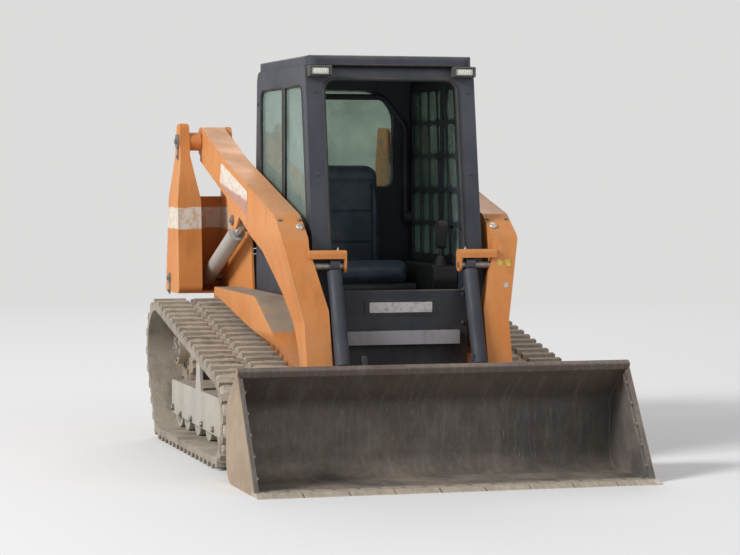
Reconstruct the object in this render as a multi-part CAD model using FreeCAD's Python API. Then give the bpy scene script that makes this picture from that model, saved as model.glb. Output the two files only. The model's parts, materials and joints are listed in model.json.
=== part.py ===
import FreeCAD
import Part
import math
import os

# A tracked skid steer loader: a compact loader on two rubber tracks, with an open-fronted cab,
# a pair of lift arms pivoted on rear towers, a quick coupler and a wide low bucket.
# Frame: +X forward to the bucket, +Y to the machine's left, +Z up, millimetres.
# The origin is on the ground, under the middle of the machine's overall length.

Vector = FreeCAD.Vector

# Clearances
RUN_GAP = 5.0            # between pieces that move past each other
PIN_GAP = 0.3            # between a pin and the bore that turns on it
SEAT_GAP = 0.3           # between curved or soft pieces that rest on one another

# Track: three wheels inside a rubber belt
TRACK_INNER_Y = 540.0
TRACK_WIDTH = 400.0
TRACK_MID_Y = TRACK_INNER_Y + TRACK_WIDTH / 2
BELT = 40.0              # thickness of the belt itself
LUG = 25.0               # height of a lug
LUG_PITCH = 100.0
LUG_SLOPE = 8.0          # length of a lug's sloping flank
GROOVE = 44.0            # plain strip between the two rows of lugs
SPROCKET_X = -1000.0
SPROCKET_Z = 500.0
SPROCKET_R = 215.0
IDLER_X = 520.0
IDLER_R = 185.0
TAIL_WHEEL_X = -930.0
TAIL_WHEEL_R = 110.0
GROUND_LINE = BELT + LUG                      # inner face of the belt on the ground
IDLER_Z = GROUND_LINE + IDLER_R
TAIL_WHEEL_Z = GROUND_LINE + TAIL_WHEEL_R

# Rollers and the track frame that carries them
ROLLER_R = 90.0
ROLLER_XS = (-720.0, -440.0, -160.0, 120.0)
WHEEL_WIDTH = 150.0
FRAME_WALL = 15.0
FRAME_SIDE_GAP = 20.0                         # between a wheel's face and the frame's flange
FRAME_HALF = WHEEL_WIDTH / 2 + FRAME_SIDE_GAP
FRAME_TOP_Z = 330.0
FRAME_SKIRT_Z = 125.0
FRAME_REAR_X = -975.0
FRAME_FRONT_X = 300.0
FORK_HALF = 38.0
AXLE_R = 20.0
CARRIER_R = 55.0
CARRIER_X = -260.0

# Chassis tub
TUB_Y = 470.0
TUB_WALL = 12.0
TUB_BOTTOM_Z = 260.0
TUB_REAR_X = -1615.0
TAIL_LOW_X = -1540.0
TAIL_LOW_Z = 340.0
TUB_FRONT_X = 660.0
DECK_Z = 1160.0                               # rim of the engine bay
CAB_DECK_Z = 820.0                            # rim beside the cab
BULKHEAD_X = -655.0
FENDER_LOW_Y = 532.0                          # beside the track, short of it
FENDER_OUT_Y = 628.0                          # above the track, over its inner edge
NOSE_TOP_OVER_SILL = 10.0
NOSE_PANEL_Y = 355.0

# Rear bumper, with holes for a counterweight and two tie-down lugs
BUMPER_Z0 = 356.0
BUMPER_Z1 = 426.0
BUMPER_DEPTH = 50.0
BUMPER_LUG = 60.0
BUMPER_X = TUB_REAR_X - BUMPER_DEPTH          # its rear face
REAR_X = BUMPER_X - BUMPER_LUG
WEIGHT_HOLE_R = 9.0
WEIGHT_HOLE_DY = 560.0
WEIGHT_HOLE_DEPTH = 40.0
TIE_HOLE_R = 20.0
TIE_HOLE_WALL = 12.0
TIE_LUG_Y = 400.0
TIE_LUG_T = 25.0

# Lift arms and the towers that carry them
ARM_IN_Y = 485.0
ARM_OUT_Y = 620.0
ARM_MID_Y = (ARM_IN_Y + ARM_OUT_Y) / 2
LEG_IN_Y = 405.0                              # the legs stand further in than the beams, before the cab
LEG_OUT_Y = 535.0
LEG_REAR_X = 692.0                            # rear face of the part that stands before the cab
LEG_FORK_Z = 330.0                            # below it a leg is two plates
ARM_PLATE = 15.0
PIVOT_X = -1270.0
PIVOT_Z = 1665.0
PIVOT_BOSS_R = 82.0
PIVOT_PIN_R = 30.0
TOWER_OUT_Y = 775.0
TOWER_IN_Y = ARM_OUT_Y + 20.0
TOWER_BASE_Z = 800.0
TOWER_WAIST_Z = 1350.0                        # above it the tower tapers
TOWER_REAR_X = -1520.0
TOWER_FRONT_X = -1130.0
TOWER_TOP_OVER_PIVOT = 104.0
TOWER_TIP_IN_Y = 695.0
TOWER_TIP_OUT_Y = 750.0
TOWER_PLATE = 12.0

# Coupler hinge, tilt crank and cylinders, all as places at rest
HINGE_X = 945.0
HINGE_Z = 170.0
HINGE_PIN_R = 20.0
HINGE_BOSS_R = 52.0
CRANK = 100.0
CRANK_ANGLE = 76.0                            # of the tilt cylinder's pin above the hinge, from +X
CRANK_X = HINGE_X + CRANK * math.cos(math.radians(CRANK_ANGLE))
CRANK_Z = HINGE_Z + CRANK * math.sin(math.radians(CRANK_ANGLE))
TILT_BASE_X = 700.0
TILT_BASE_Z = 1020.0
TILT_Y = 357.0
TILT_FORK = 29.5                              # from the tilt cylinder's middle to the faces of its ears
CROSS_TUBE_X = 838.0
CROSS_TUBE_Z = 185.0
CROSS_TUBE_R = 45.0
LIFT_BASE_X = -1400.0
LIFT_BASE_Z = 880.0
LIFT_EYE_X = -430.0
LIFT_EYE_Z = 1230.0
CYLINDER_PIN_R = 18.0

# Each cylinder: barrel radius, bore, rod radius, eye radius, eye width, gland's place, rod's inner end
LIFT_CYLINDER = {"barrel": 45.0, "bore": 36.0, "rod": 25.0, "eye": 38.0, "eye_width": 70.0,
                 "gland": 820.0, "rod_end": 110.0}
TILT_CYLINDER = {"barrel": 38.0, "bore": 31.0, "rod": 20.0, "eye": 30.0, "eye_width": 46.0,
                 "gland": 520.0, "rod_end": 240.0}
TILT_ROOM_R = 50.0                            # of the hollow that the base eye turns in
TILT_HOOD_UP = 60.0
TILT_BRACKET_Y = TILT_Y - TILT_CYLINDER["barrel"] - 22.0     # inner face of the plate at the base pin
GLAND = 30.0

# Engine hood, turning on side pins, and tail door, turning on knuckles at its left
HOOD_HINGE_X = -690.0
HOOD_HINGE_Z = 1185.0
HOOD_TOP_Z = 1350.0
ENGINE_Z0 = 350.0                             # underside of the engine block, on its two beams
HOOD_Y = 440.0
HOOD_WALL = 6.0
HOOD_PIN_R = 8.0
DOOR_HINGE_X = -1645.0
DOOR_HINGE_Y = 427.0
DOOR_PANEL_Y = 415.0
DOOR_Z0 = 435.0
DOOR_Z1 = 1150.0
DOOR_REAR_X = -1665.0
DOOR_PIN_R = 5.0
DOOR_KNUCKLE_R = 10.0
DOOR_KNUCKLE = 80.0
DOOR_KNUCKLES = (525.0, 980.0)
DOOR_LUG = 14.0

# Coupler and bucket
COUPLER_BACK_X = 1045.0
COUPLER_PLATE = 15.0
BUCKET_BACK_X = COUPLER_BACK_X + COUPLER_PLATE
COUPLER_Z0 = 60.0
COUPLER_Z1 = 480.0
EAR = 12.0
EAR_GAP = 10.0
COUPLER_NOTCH_Z = 235.0                       # above it the plate is narrow enough to pass between the legs
COUPLER_SLOT_Z = 245.0                        # foot of the slots that the tilt rods' eyes lie in
COUPLER_TOP_Y = 300.0                         # the plate's top passes between the tilt cylinders
CRANK_EAR_UP = 75.0
CRANK_EAR_DOWN = 22.0
BUCKET_WIDTH = 1980.0
BUCKET_PLATE = 12.0
BUCKET_SHOULDER_Z = 370.0
BUCKET_LIP_X = 1285.0
BUCKET_LIP_Z = 550.0
EDGE_REAR_X = 1590.0
EDGE_REACH = 135.0
EDGE_T = 20.0
EDGE_BEVEL = 45.0
EDGE_SECTIONS = 9
EDGE_NOTCH = 8.0
FRONT_X = EDGE_REAR_X + EDGE_REACH

# Cab
CAB_Y = 448.0
CAB_WALL = 30.0
CAB_FLOOR_Z = 600.0
SILL_Z = 880.0
CAB_TOP_Z = 2035.0
CAB_REAR_X = -610.0
CAB_SILL_X = 660.0
SEAT_TOP_Z = 1010.0                           # top of the seat cushion at rest
CAB_FRONT_TOP_X = 480.0
HEADER_Z = CAB_TOP_Z - 64.0
DOOR_HALF = 358.0
GLASS = 6.0
SCREEN = 6.0
ROOF_T = 50.0
WINDOW_SILL_Z = 1040.0
WINDOW_TOP_Z = CAB_TOP_Z - 100.0
WINDOW_REAR_X = -500.0
WINDOW_FRONT_POST = 85.0                      # between the cab's front face and the side window
SCREEN_LAP = 30.0
SCREEN_REAR_X = WINDOW_REAR_X + 8.0
REAR_WINDOW_HALF = 330.0
REAR_WINDOW_SILL_Z = CAB_TOP_Z - 630.0
REAR_WINDOW_TOP_Z = CAB_TOP_Z - 90.0
REAR_KNEE_Z = CAB_TOP_Z - 470.0               # where the back wall starts to lean
REAR_LEAN = 30.0
BAR_PIVOT_X = -530.0
BAR_PIVOT_Z = 1240.0
BAR_HALF = 385.0
BAR_R = 16.0
BAR_PIN_R = 14.0
POST_X = 20.0
POST_W = 36.0


def box(x0, x1, y0, y1, z0, z1):
    return Part.makeBox(x1 - x0, y1 - y0, z1 - z0, Vector(x0, y0, z0))


def bar_y(x, z, r, y0, y1):
    """A round bar along Y."""
    return Part.makeCylinder(r, y1 - y0, Vector(x, y0, z), Vector(0, 1, 0))


def bar(start, end, r):
    """A round bar between two points."""
    axis = end - start
    return Part.makeCylinder(r, axis.Length, start, axis)


def corner_points(before, corner, after, r):
    """Start, middle and end of the arc that rounds a corner."""
    to_before = (before - corner).normalize()
    to_after = (after - corner).normalize()
    half = to_before.getAngle(to_after) / 2
    reach = r / math.tan(half)
    start = corner + to_before * reach
    end = corner + to_after * reach
    inward = (to_before + to_after).normalize()
    centre = corner + inward * (r / math.sin(half))
    return start, centre - inward * r, end


def outline(corners, place):
    """A closed wire through (u, v) or (u, v, corner radius) rows, with place(u, v) giving the point."""
    points = [place(c[0], c[1]) for c in corners]
    count = len(points)
    spans = []
    for i, c in enumerate(corners):
        r = c[2] if len(c) > 2 else 0.0
        if r:
            spans.append(corner_points(points[i - 1], points[i], points[(i + 1) % count], r))
        else:
            spans.append((points[i], None, points[i]))
    edges = []
    for i, (start, middle, end) in enumerate(spans):
        if middle is not None:
            edges.append(Part.Arc(start, middle, end).toShape())
        following = spans[(i + 1) % count][0]
        if end.distanceToPoint(following) > 1e-6:
            edges.append(Part.LineSegment(end, following).toShape())
    return Part.Wire(edges)


def side_plate(corners, y0, y1):
    """A plate with a side-view outline of (x, z, corner radius) rows."""
    face = Part.Face(outline(corners, lambda u, v: Vector(u, y0, v)))
    return face.extrude(Vector(0, y1 - y0, 0))


def front_plate(corners, x0, x1):
    """A plate with a front-view outline of (y, z, corner radius) rows."""
    face = Part.Face(outline(corners, lambda u, v: Vector(x0, u, v)))
    return face.extrude(Vector(x1 - x0, 0, 0))


def flat_plate(corners, z0, z1):
    """A plate with a plan outline of (x, y, corner radius) rows."""
    face = Part.Face(outline(corners, lambda u, v: Vector(u, v, z0)))
    return face.extrude(Vector(0, 0, z1 - z0))


def fuse(shapes):
    whole = shapes[0].multiFuse(shapes[1:]) if len(shapes) > 1 else shapes[0]
    return whole.removeSplitter()


def mirrored(shape):
    """The same piece on the machine's right."""
    return shape.mirror(Vector(0, 0, 0), Vector(0, 1, 0))


def pair(shape):
    """A piece and its mirror image, as solids of one node."""
    return Part.makeCompound([shape, mirrored(shape)])


def hull_of_circles(circles, y0, y1):
    """A plate whose outline wraps round (x, z, r) circles, given anticlockwise."""
    face = Part.Face(Part.Wire(loop_edges(circles, y0)))
    return face.extrude(Vector(0, y1 - y0, 0))


def tangent_angles(circles):
    """For each pair of neighbours, the angle of the outward normal of their common tangent."""
    angles = []
    for i, (x, z, r) in enumerate(circles):
        nx, nz, nr = circles[(i + 1) % len(circles)]
        apart = math.hypot(nx - x, nz - z)
        heading = math.atan2(nz - z, nx - x)
        angles.append(heading - math.acos((r - nr) / apart))
    return angles


def loop_spans(circles):
    """Straight and round stretches of the loop, each with its length and a function of the way along it."""
    angles = tangent_angles(circles)
    spans = []
    for i, (x, z, r) in enumerate(circles):
        begin = angles[i - 1]
        sweep = (angles[i] - begin) % (2 * math.pi)
        spans.append((r * sweep, ("arc", x, z, r, begin)))
        nx, nz, nr = circles[(i + 1) % len(circles)]
        a = angles[i]
        start = (x + r * math.cos(a), z + r * math.sin(a))
        end = (nx + nr * math.cos(a), nz + nr * math.sin(a))
        spans.append((math.dist(start, end), ("line", start, end, a)))
    return spans


def loop_edges(circles, y):
    edges = []
    for length, span in loop_spans(circles):
        if length < 1e-6:
            continue
        if span[0] == "arc":
            _, x, z, r, begin = span
            places = [begin, begin + length / r / 2, begin + length / r]
            points = [Vector(x + r * math.cos(a), y, z + r * math.sin(a)) for a in places]
            edges.append(Part.Arc(*points).toShape())
        else:
            _, start, end, _ = span
            edges.append(Part.LineSegment(Vector(start[0], y, start[1]), Vector(end[0], y, end[1])).toShape())
    return edges


def loop_point(spans, way, proud):
    """The point at a distance along the loop, standing proud of it by some height."""
    total = sum(length for length, _ in spans)
    way %= total
    for length, span in spans:
        if way > length:
            way -= length
            continue
        if span[0] == "arc":
            _, x, z, r, begin = span
            a = begin + way / r
            return (x + (r + proud) * math.cos(a), z + (r + proud) * math.sin(a))
        _, start, end, a = span
        share = way / length
        return (
            start[0] + (end[0] - start[0]) * share + proud * math.cos(a),
            start[1] + (end[1] - start[1]) * share + proud * math.sin(a),
        )
    return loop_point(spans, 0.0, proud)


def track():
    """One rubber track: a belt with two staggered rows of lugs and a plain groove between them."""
    wheels = [
        (TAIL_WHEEL_X, TAIL_WHEEL_Z, TAIL_WHEEL_R),
        (IDLER_X, IDLER_Z, IDLER_R),
        (SPROCKET_X, SPROCKET_Z, SPROCKET_R),
    ]
    outside = loop_spans([(x, z, r + BELT) for x, z, r in wheels])
    length = sum(span_length for span_length, _ in outside)
    count = round(length / LUG_PITCH)
    pitch = length / count

    def ring(lug_phase, y0, y1):
        points = []
        for i in range(2 * count):
            way = i * pitch / 2
            points.append(loop_point(outside, way, 0.0))
            if i % 2 == lug_phase:
                points.append(loop_point(outside, way + LUG_SLOPE, LUG))
                points.append(loop_point(outside, way + pitch / 2 - LUG_SLOPE, LUG))
        corners = [Vector(x, y0, z) for x, z in points]
        outer = Part.Face(Part.makePolygon(corners + corners[:1]))
        inner = Part.Face(Part.Wire(loop_edges(wheels, y0)))
        depth = Vector(0, y1 - y0, 0)
        return outer.extrude(depth).cut(inner.extrude(depth))

    row = (TRACK_WIDTH - GROOVE) / 2
    y = TRACK_INNER_Y
    no_lugs = 2
    rings = [ring(0, y, y + row), ring(no_lugs, y + row, y + row + GROOVE),
             ring(1, y + row + GROOVE, y + TRACK_WIDTH)]
    return fuse(rings)


def carrier_z():
    """Height of the small top roller, just under the belt's upper run."""
    spans = loop_spans([(TAIL_WHEEL_X, TAIL_WHEEL_Z, TAIL_WHEEL_R), (IDLER_X, IDLER_Z, IDLER_R),
                        (SPROCKET_X, SPROCKET_Z, SPROCKET_R)])
    top_run = [span for _, span in spans if span[0] == "line" and math.sin(span[3]) > 0.5][0]
    _, start, end, a = top_run
    share = (CARRIER_X - start[0]) / (end[0] - start[0])
    return start[1] + (end[1] - start[1]) * share - (CARRIER_R + SEAT_GAP) / math.sin(a)


def roller(x, z, r):
    """A plain roller inside the track, on an axle that ends at the frame's flanges."""
    body = bar_y(x, z, r - SEAT_GAP, TRACK_MID_Y - WHEEL_WIDTH / 2, TRACK_MID_Y + WHEEL_WIDTH / 2)
    axle = bar_y(x, z, AXLE_R, TRACK_MID_Y - FRAME_HALF, TRACK_MID_Y + FRAME_HALF)
    return body.fuse(axle).removeSplitter()


def dished_wheel(x, z, r, rim, dish):
    """A larger wheel inside the track, with its faces dished round the hub."""
    body = roller(x, z, r)
    hub_r = AXLE_R + 18.0
    for face_y in (TRACK_MID_Y - WHEEL_WIDTH / 2, TRACK_MID_Y + WHEEL_WIDTH / 2 - dish):
        pan = bar_y(x, z, r - rim, face_y, face_y + dish)
        body = body.cut(pan.cut(bar_y(x, z, hub_r, face_y, face_y + dish)))
    return body


def track_wheels():
    """Front idler, tail wheel, the rollers on the ground and the small roller under the top run."""
    wheels = [dished_wheel(IDLER_X, IDLER_Z, IDLER_R, 34.0, 42.0),
              dished_wheel(TAIL_WHEEL_X, TAIL_WHEEL_Z, TAIL_WHEEL_R, 26.0, 30.0)]
    for x in ROLLER_XS:
        wheels.append(roller(x, GROUND_LINE + ROLLER_R, ROLLER_R))
    wheels.append(roller(CARRIER_X, carrier_z(), CARRIER_R))
    return wheels


def track_frame():
    """The welded beam over the rollers, its fork for the idler and the stubs that join it to the tub."""
    y0 = TRACK_MID_Y - FRAME_HALF
    y1 = TRACK_MID_Y + FRAME_HALF
    roof_z = FRAME_TOP_Z - 2 * FRAME_WALL
    skirt = [
        (FRAME_REAR_X, FRAME_SKIRT_Z + 20, 20), (FRAME_FRONT_X, FRAME_SKIRT_Z, 20),
        (IDLER_X + FORK_HALF, IDLER_Z - FORK_HALF, 30), (IDLER_X + FORK_HALF, IDLER_Z + FORK_HALF, 30),
        (FRAME_FRONT_X + 40, FRAME_TOP_Z, 30), (FRAME_REAR_X, FRAME_TOP_Z, 20),
    ]
    beam = side_plate(skirt, y0 - FRAME_WALL, y1 + FRAME_WALL)
    beam = beam.cut(box(FRAME_REAR_X - 10, IDLER_X + 100, y0, y1, 0, roof_z))
    beam = beam.cut(box(IDLER_X - IDLER_R - FRAME_SIDE_GAP, IDLER_X + 100, y0, y1, 0, FRAME_TOP_Z + 10))
    beam = beam.cut(bar_y(SPROCKET_X, SPROCKET_Z, SPROCKET_R + RUN_GAP, y0, y1))
    pieces = [beam]
    for x in (-820.0, 40.0):
        pieces.append(box(x, x + 150, TUB_Y, y0, 215.0, FRAME_TOP_Z - 10))
    top = carrier_z()
    ear = hull_of_circles([(CARRIER_X - 60, FRAME_TOP_Z - 12, 10), (CARRIER_X + 60, FRAME_TOP_Z - 12, 10),
                           (CARRIER_X, top, AXLE_R + 12)], y0 - FRAME_WALL, y0)
    pieces.append(ear)
    pieces.append(ear.translated(Vector(0, y1 - y0 + FRAME_WALL, 0)))
    return fuse(pieces)


def sprocket():
    """Final drive bolted to the tub's side, with the toothed ring that drives the belt."""
    teeth = 15
    crest = SPROCKET_R - SEAT_GAP
    root = crest - 30
    points = []
    for i in range(teeth):
        a = 2 * math.pi * i / teeth
        for turn, r in ((0.0, root), (0.25, root), (0.38, crest), (0.87, crest)):
            angle = a + turn * 2 * math.pi / teeth
            points.append(Vector(SPROCKET_X + r * math.cos(angle), 0, SPROCKET_Z + r * math.sin(angle)))
    ring_t = 46.0
    face = Part.Face(Part.makePolygon(points + points[:1]))
    ring = face.extrude(Vector(0, ring_t, 0)).translated(Vector(0, TRACK_MID_Y - ring_t / 2, 0))
    for i in range(5):
        a = 2 * math.pi * i / 5
        ring = ring.cut(bar_y(SPROCKET_X + 145 * math.cos(a), SPROCKET_Z + 145 * math.sin(a), 24,
                              TRACK_MID_Y - ring_t, TRACK_MID_Y + ring_t))
    motor = bar_y(SPROCKET_X, SPROCKET_Z, 125, TUB_Y, TRACK_MID_Y - ring_t / 2)
    cap = bar_y(SPROCKET_X, SPROCKET_Z, 88, TRACK_MID_Y + ring_t / 2, TRACK_MID_Y + 78)
    return fuse([ring, motor, cap])


def tub():
    """The open-topped steel hull: engine bay behind, a lower rim beside the cab, a sloping nose."""
    rim = [
        (TAIL_LOW_X, TUB_BOTTOM_Z, 40), (560.0, TUB_BOTTOM_Z, 60), (TUB_FRONT_X, 400.0, 40),
        (TUB_FRONT_X, 560.0, 20), (330.0, CAB_DECK_Z, 60), (BULKHEAD_X + 60, CAB_DECK_Z, 30),
        (BULKHEAD_X, DECK_Z, 20), (TUB_REAR_X, DECK_Z, 20), (TUB_REAR_X, TAIL_LOW_Z, 30),
    ]
    whole = side_plate(rim, -TUB_Y, TUB_Y)
    inside = side_plate([
        (TAIL_LOW_X + TUB_WALL / 2, TUB_BOTTOM_Z + TUB_WALL), (545.0, TUB_BOTTOM_Z + TUB_WALL),
        (TUB_FRONT_X - TUB_WALL, 410.0), (TUB_FRONT_X - TUB_WALL, DECK_Z + 50),
        (TUB_REAR_X + TUB_WALL, DECK_Z + 50), (TUB_REAR_X + TUB_WALL, TAIL_LOW_Z + TUB_WALL / 2),
    ], -TUB_Y + TUB_WALL, TUB_Y - TUB_WALL)
    hull = whole.cut(inside)
    hull = hull.cut(box(TUB_REAR_X - 10, TUB_REAR_X + TUB_WALL + 10, -385, 385, 470, 1110))
    half_in = TUB_Y - TUB_WALL
    pieces = [hull]
    for x0, x1 in ((-600.0, -500.0), (500.0, 600.0)):
        pieces.append(box(x0, x1, -half_in, half_in, CAB_FLOOR_Z - 50, CAB_FLOOR_Z))
    for x0 in (-1380.0, -880.0):
        pieces.append(box(x0, x0 + 70, -half_in, half_in, TUB_BOTTOM_Z + TUB_WALL, ENGINE_Z0))
    for shape in (fender(), hood_pivot()):
        pieces += [shape, mirrored(shape)]
    return fuse(pieces + door_pivots())


def fender():
    """The shelf beside the cab, sloping down in front over the track's inner edge to a deep front end."""
    from_side = [(-870.0, 812.0), (-870.0, 850.0), (120.0, 846.0, 200), (505.0, 682.0, 30),
                 (648.0, 508.0, 25), (648.0, 440.0, 25), (560.0, 440.0, 50), (480.0, 600.0, 60)]
    from_front = [(TUB_Y, 430.0), (FENDER_LOW_Y, 430.0), (FENDER_LOW_Y, 500.0), (FENDER_OUT_Y, 665.0, 60),
                  (FENDER_OUT_Y, 860.0), (TUB_Y, 860.0)]
    return side_plate(from_side, TUB_Y, FENDER_OUT_Y).common(front_plate(from_front, -880.0, 660.0))


def engine_block():
    return box(-1460, -780, -270, 270, ENGINE_Z0, 1010)


def rear_bumper():
    """A heavy bar across the tail, with a bolt pattern and two tie-down lugs."""
    face_x = BUMPER_X
    bar_body = flat_plate([(face_x, -TUB_Y, 25), (TUB_REAR_X, -TUB_Y), (TUB_REAR_X, TUB_Y),
                           (face_x, TUB_Y, 25)],
                          BUMPER_Z0, BUMPER_Z1)
    pieces = [bar_body]
    mid_z = bumper_mid_z()
    for side in (-1, 1):
        y = side * TIE_LUG_Y - TIE_LUG_T / 2
        pieces.append(side_plate([(face_x + 5, mid_z - 34), (face_x + 5, mid_z + 34),
                                  (REAR_X, mid_z + 34, 30), (REAR_X, mid_z - 34, 30)], y, y + TIE_LUG_T))
    whole = fuse(pieces)
    whole = whole.cut(bar_y(REAR_X + TIE_HOLE_WALL + TIE_HOLE_R, mid_z, TIE_HOLE_R, -TUB_Y - 10, TUB_Y + 10))
    for y in (-WEIGHT_HOLE_DY / 2, WEIGHT_HOLE_DY / 2):
        whole = whole.cut(bar(Vector(face_x - 1, y, mid_z), Vector(face_x + WEIGHT_HOLE_DEPTH, y, mid_z),
                              WEIGHT_HOLE_R))
    return whole


def bumper_mid_z():
    return (BUMPER_Z0 + BUMPER_Z1) / 2


def tower_back_x(z):
    """The leaning back plate's rear face at a height below the tower's waist."""
    return TOWER_REAR_X + (z - TOWER_BASE_Z) * 90.0 / (TOWER_WAIST_Z - TOWER_BASE_Z)


def tower():
    """The column beside the tail that carries an arm: tapered box, back plate, foot, inner cheek and boss."""
    top_z = PIVOT_Z + TOWER_TOP_OVER_PIVOT
    waist_x = tower_back_x(TOWER_WAIST_Z)
    from_side = [(TOWER_REAR_X, TOWER_BASE_Z, 10), (TOWER_FRONT_X, TOWER_BASE_Z, 40),
                 (TOWER_FRONT_X - 35, TOWER_WAIST_Z, 200), (PIVOT_X + 40, top_z, 38),
                 (PIVOT_X - 40, top_z, 38),
                 (waist_x, TOWER_WAIST_Z, 200)]
    from_front = [(TOWER_IN_Y, TOWER_BASE_Z), (TOWER_OUT_Y, TOWER_BASE_Z),
                  (TOWER_OUT_Y, TOWER_WAIST_Z - 20, 100),
                  (TOWER_TIP_OUT_Y, PIVOT_Z - 85, 60), (TOWER_TIP_OUT_Y, top_z, 15),
                  (TOWER_TIP_IN_Y, top_z, 15),
                  (TOWER_TIP_IN_Y, PIVOT_Z - 85, 60), (TOWER_IN_Y, TOWER_WAIST_Z - 20, 100)]
    column = side_plate(from_side, TOWER_IN_Y, TOWER_OUT_Y).common(
        front_plate(from_front, TOWER_REAR_X - 10, TOWER_FRONT_X + 10))
    boss = bar_y(PIVOT_X, PIVOT_Z, PIVOT_PIN_R + 22, ARM_OUT_Y + RUN_GAP, TOWER_TIP_IN_Y + 5)
    back = side_plate([(TOWER_REAR_X, TOWER_BASE_Z), (TOWER_REAR_X + TOWER_PLATE, TOWER_BASE_Z),
                       (waist_x + TOWER_PLATE, TOWER_WAIST_Z),
                       (waist_x, TOWER_WAIST_Z)], TUB_Y, TOWER_IN_Y + 1)
    foot = box(TOWER_REAR_X + 1, TOWER_FRONT_X - 40, TUB_Y, TOWER_IN_Y + 1, TOWER_BASE_Z,
               TOWER_BASE_Z + TOWER_PLATE)
    cheek = side_plate([(-1465.0, DECK_Z), (-1055.0, DECK_Z), (PIVOT_X + 90, top_z - 20, 45),
                        (PIVOT_X - 75, top_z - 20, 45)], TUB_Y - TUB_WALL, TUB_Y)
    whole = fuse([column, boss, back, foot, cheek])
    whole = whole.cut(bar_y(PIVOT_X, PIVOT_Z, PIVOT_PIN_R, TUB_Y - 60, TOWER_OUT_Y + 60))
    return whole.cut(bar_y(LIFT_BASE_X, LIFT_BASE_Z, CYLINDER_PIN_R, TUB_Y, TOWER_OUT_Y + 60))


def chassis_pins():
    """The arm's pivot pin and the lift cylinder's base pin, each with a head on the tower's outside."""
    pivot = bar_y(PIVOT_X, PIVOT_Z, PIVOT_PIN_R, TUB_Y - TUB_WALL, TOWER_TIP_OUT_Y)
    pivot_head = bar_y(PIVOT_X, PIVOT_Z, PIVOT_PIN_R + 12, TOWER_TIP_OUT_Y, TOWER_TIP_OUT_Y + 12)
    base = bar_y(LIFT_BASE_X, LIFT_BASE_Z, CYLINDER_PIN_R, TUB_Y, TOWER_OUT_Y)
    base_head = bar_y(LIFT_BASE_X, LIFT_BASE_Z, CYLINDER_PIN_R + 12, TOWER_OUT_Y, TOWER_OUT_Y + 10)
    return [fuse([pivot, pivot_head]), fuse([base, base_head])]


def lift_arm():
    """One arm: a deep beam from the pivot to the knee, then a leg set further in, forked at the hinge."""
    from_side = [
        (PIVOT_X + 25, PIVOT_Z + 80), (-650.0, 1560.0, 300), (520.0, 1275.0, 60), (690.0, 1160.0, 60),
        (868.0, 500.0, 200), (1000.0, 190.0), (985.0, 130.0), (905.0, 130.0), (885.0, 180.0),
        (665.0, 620.0, 120),
        (455.0, 880.0, 140), (200.0, 1080.0, 200), (-380.0, 1290.0, 300), (PIVOT_X - 15, PIVOT_Z - 110),
    ]
    from_front = [
        (ARM_IN_Y, 1900.0), (ARM_IN_Y, 1110.0, 60), (LEG_IN_Y, 800.0, 90), (LEG_IN_Y, 60.0),
        (LEG_OUT_Y, 60.0), (LEG_OUT_Y, 740.0, 100), (ARM_OUT_Y, 1160.0, 100), (ARM_OUT_Y, 1900.0),
    ]
    arm = side_plate(from_side, LEG_IN_Y, ARM_OUT_Y).common(front_plate(from_front, PIVOT_X - 100, 1100.0))
    arm = arm.cut(box(PIVOT_X - 100, LEG_REAR_X, LEG_IN_Y - 1, ARM_IN_Y, 0, 1900))
    arm = arm.fuse(bar_y(PIVOT_X, PIVOT_Z, PIVOT_BOSS_R, ARM_IN_Y, ARM_OUT_Y))
    arm = arm.fuse(bar_y(HINGE_X, HINGE_Z, HINGE_BOSS_R, LEG_IN_Y, LEG_OUT_Y))
    ear = [(LIFT_EYE_X - 170, LIFT_EYE_Z + 145), (LIFT_EYE_X + 170, LIFT_EYE_Z + 30),
           (LIFT_EYE_X + 62, LIFT_EYE_Z - 48, 48), (LIFT_EYE_X - 62, LIFT_EYE_Z - 48, 48)]
    arm = arm.fuse(side_plate(ear, ARM_IN_Y, ARM_IN_Y + ARM_PLATE))
    arm = arm.fuse(side_plate(ear, ARM_OUT_Y - ARM_PLATE, ARM_OUT_Y))
    arm = arm.cut(box(CROSS_TUBE_X - 60, 1100.0, LEG_IN_Y + ARM_PLATE, LEG_OUT_Y - ARM_PLATE, 30.0,
                      LEG_FORK_Z))
    lobe = hull_of_circles([(CROSS_TUBE_X, CROSS_TUBE_Z, CROSS_TUBE_R + 12), (905.0, 185.0, 45),
                            (865.0, 360.0, 30)],
                           LEG_IN_Y, LEG_IN_Y + ARM_PLATE)
    arm = fuse([arm, lobe] + tilt_bracket())
    for x, z, r, y0, y1 in ((PIVOT_X, PIVOT_Z, PIVOT_PIN_R + PIN_GAP, ARM_IN_Y, ARM_OUT_Y),
                            (HINGE_X, HINGE_Z, HINGE_PIN_R, LEG_IN_Y, LEG_OUT_Y),
                            (TILT_BASE_X, TILT_BASE_Z, CYLINDER_PIN_R, TILT_Y - 60, ARM_IN_Y + ARM_PLATE),
                            (LIFT_EYE_X, LIFT_EYE_Z, CYLINDER_PIN_R, ARM_IN_Y, ARM_OUT_Y)):
        arm = arm.cut(bar_y(x, z, r, y0, y1))
    return arm.removeSplitter()


def tilt_bracket():
    """The hooded bracket on the arm's knee that holds the inner end of the tilt cylinder's base pin."""
    x, z = TILT_BASE_X, TILT_BASE_Z
    hood_z = z + TILT_HOOD_UP
    root_y = ARM_IN_Y + 10
    inside_y = TILT_BRACKET_Y + EAR
    block = hull_of_circles([(x, z, 32), (x + 14, hood_z, 20), (x - 12, hood_z, 20)], TILT_BRACKET_Y, root_y)
    room = bar_y(x, z, TILT_ROOM_R, inside_y, root_y + 1)
    below = box(x - TILT_ROOM_R, x + TILT_ROOM_R, inside_y, root_y + 1, z - TILT_ROOM_R, z)
    return [block.cut(room.fuse(below))]


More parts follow.
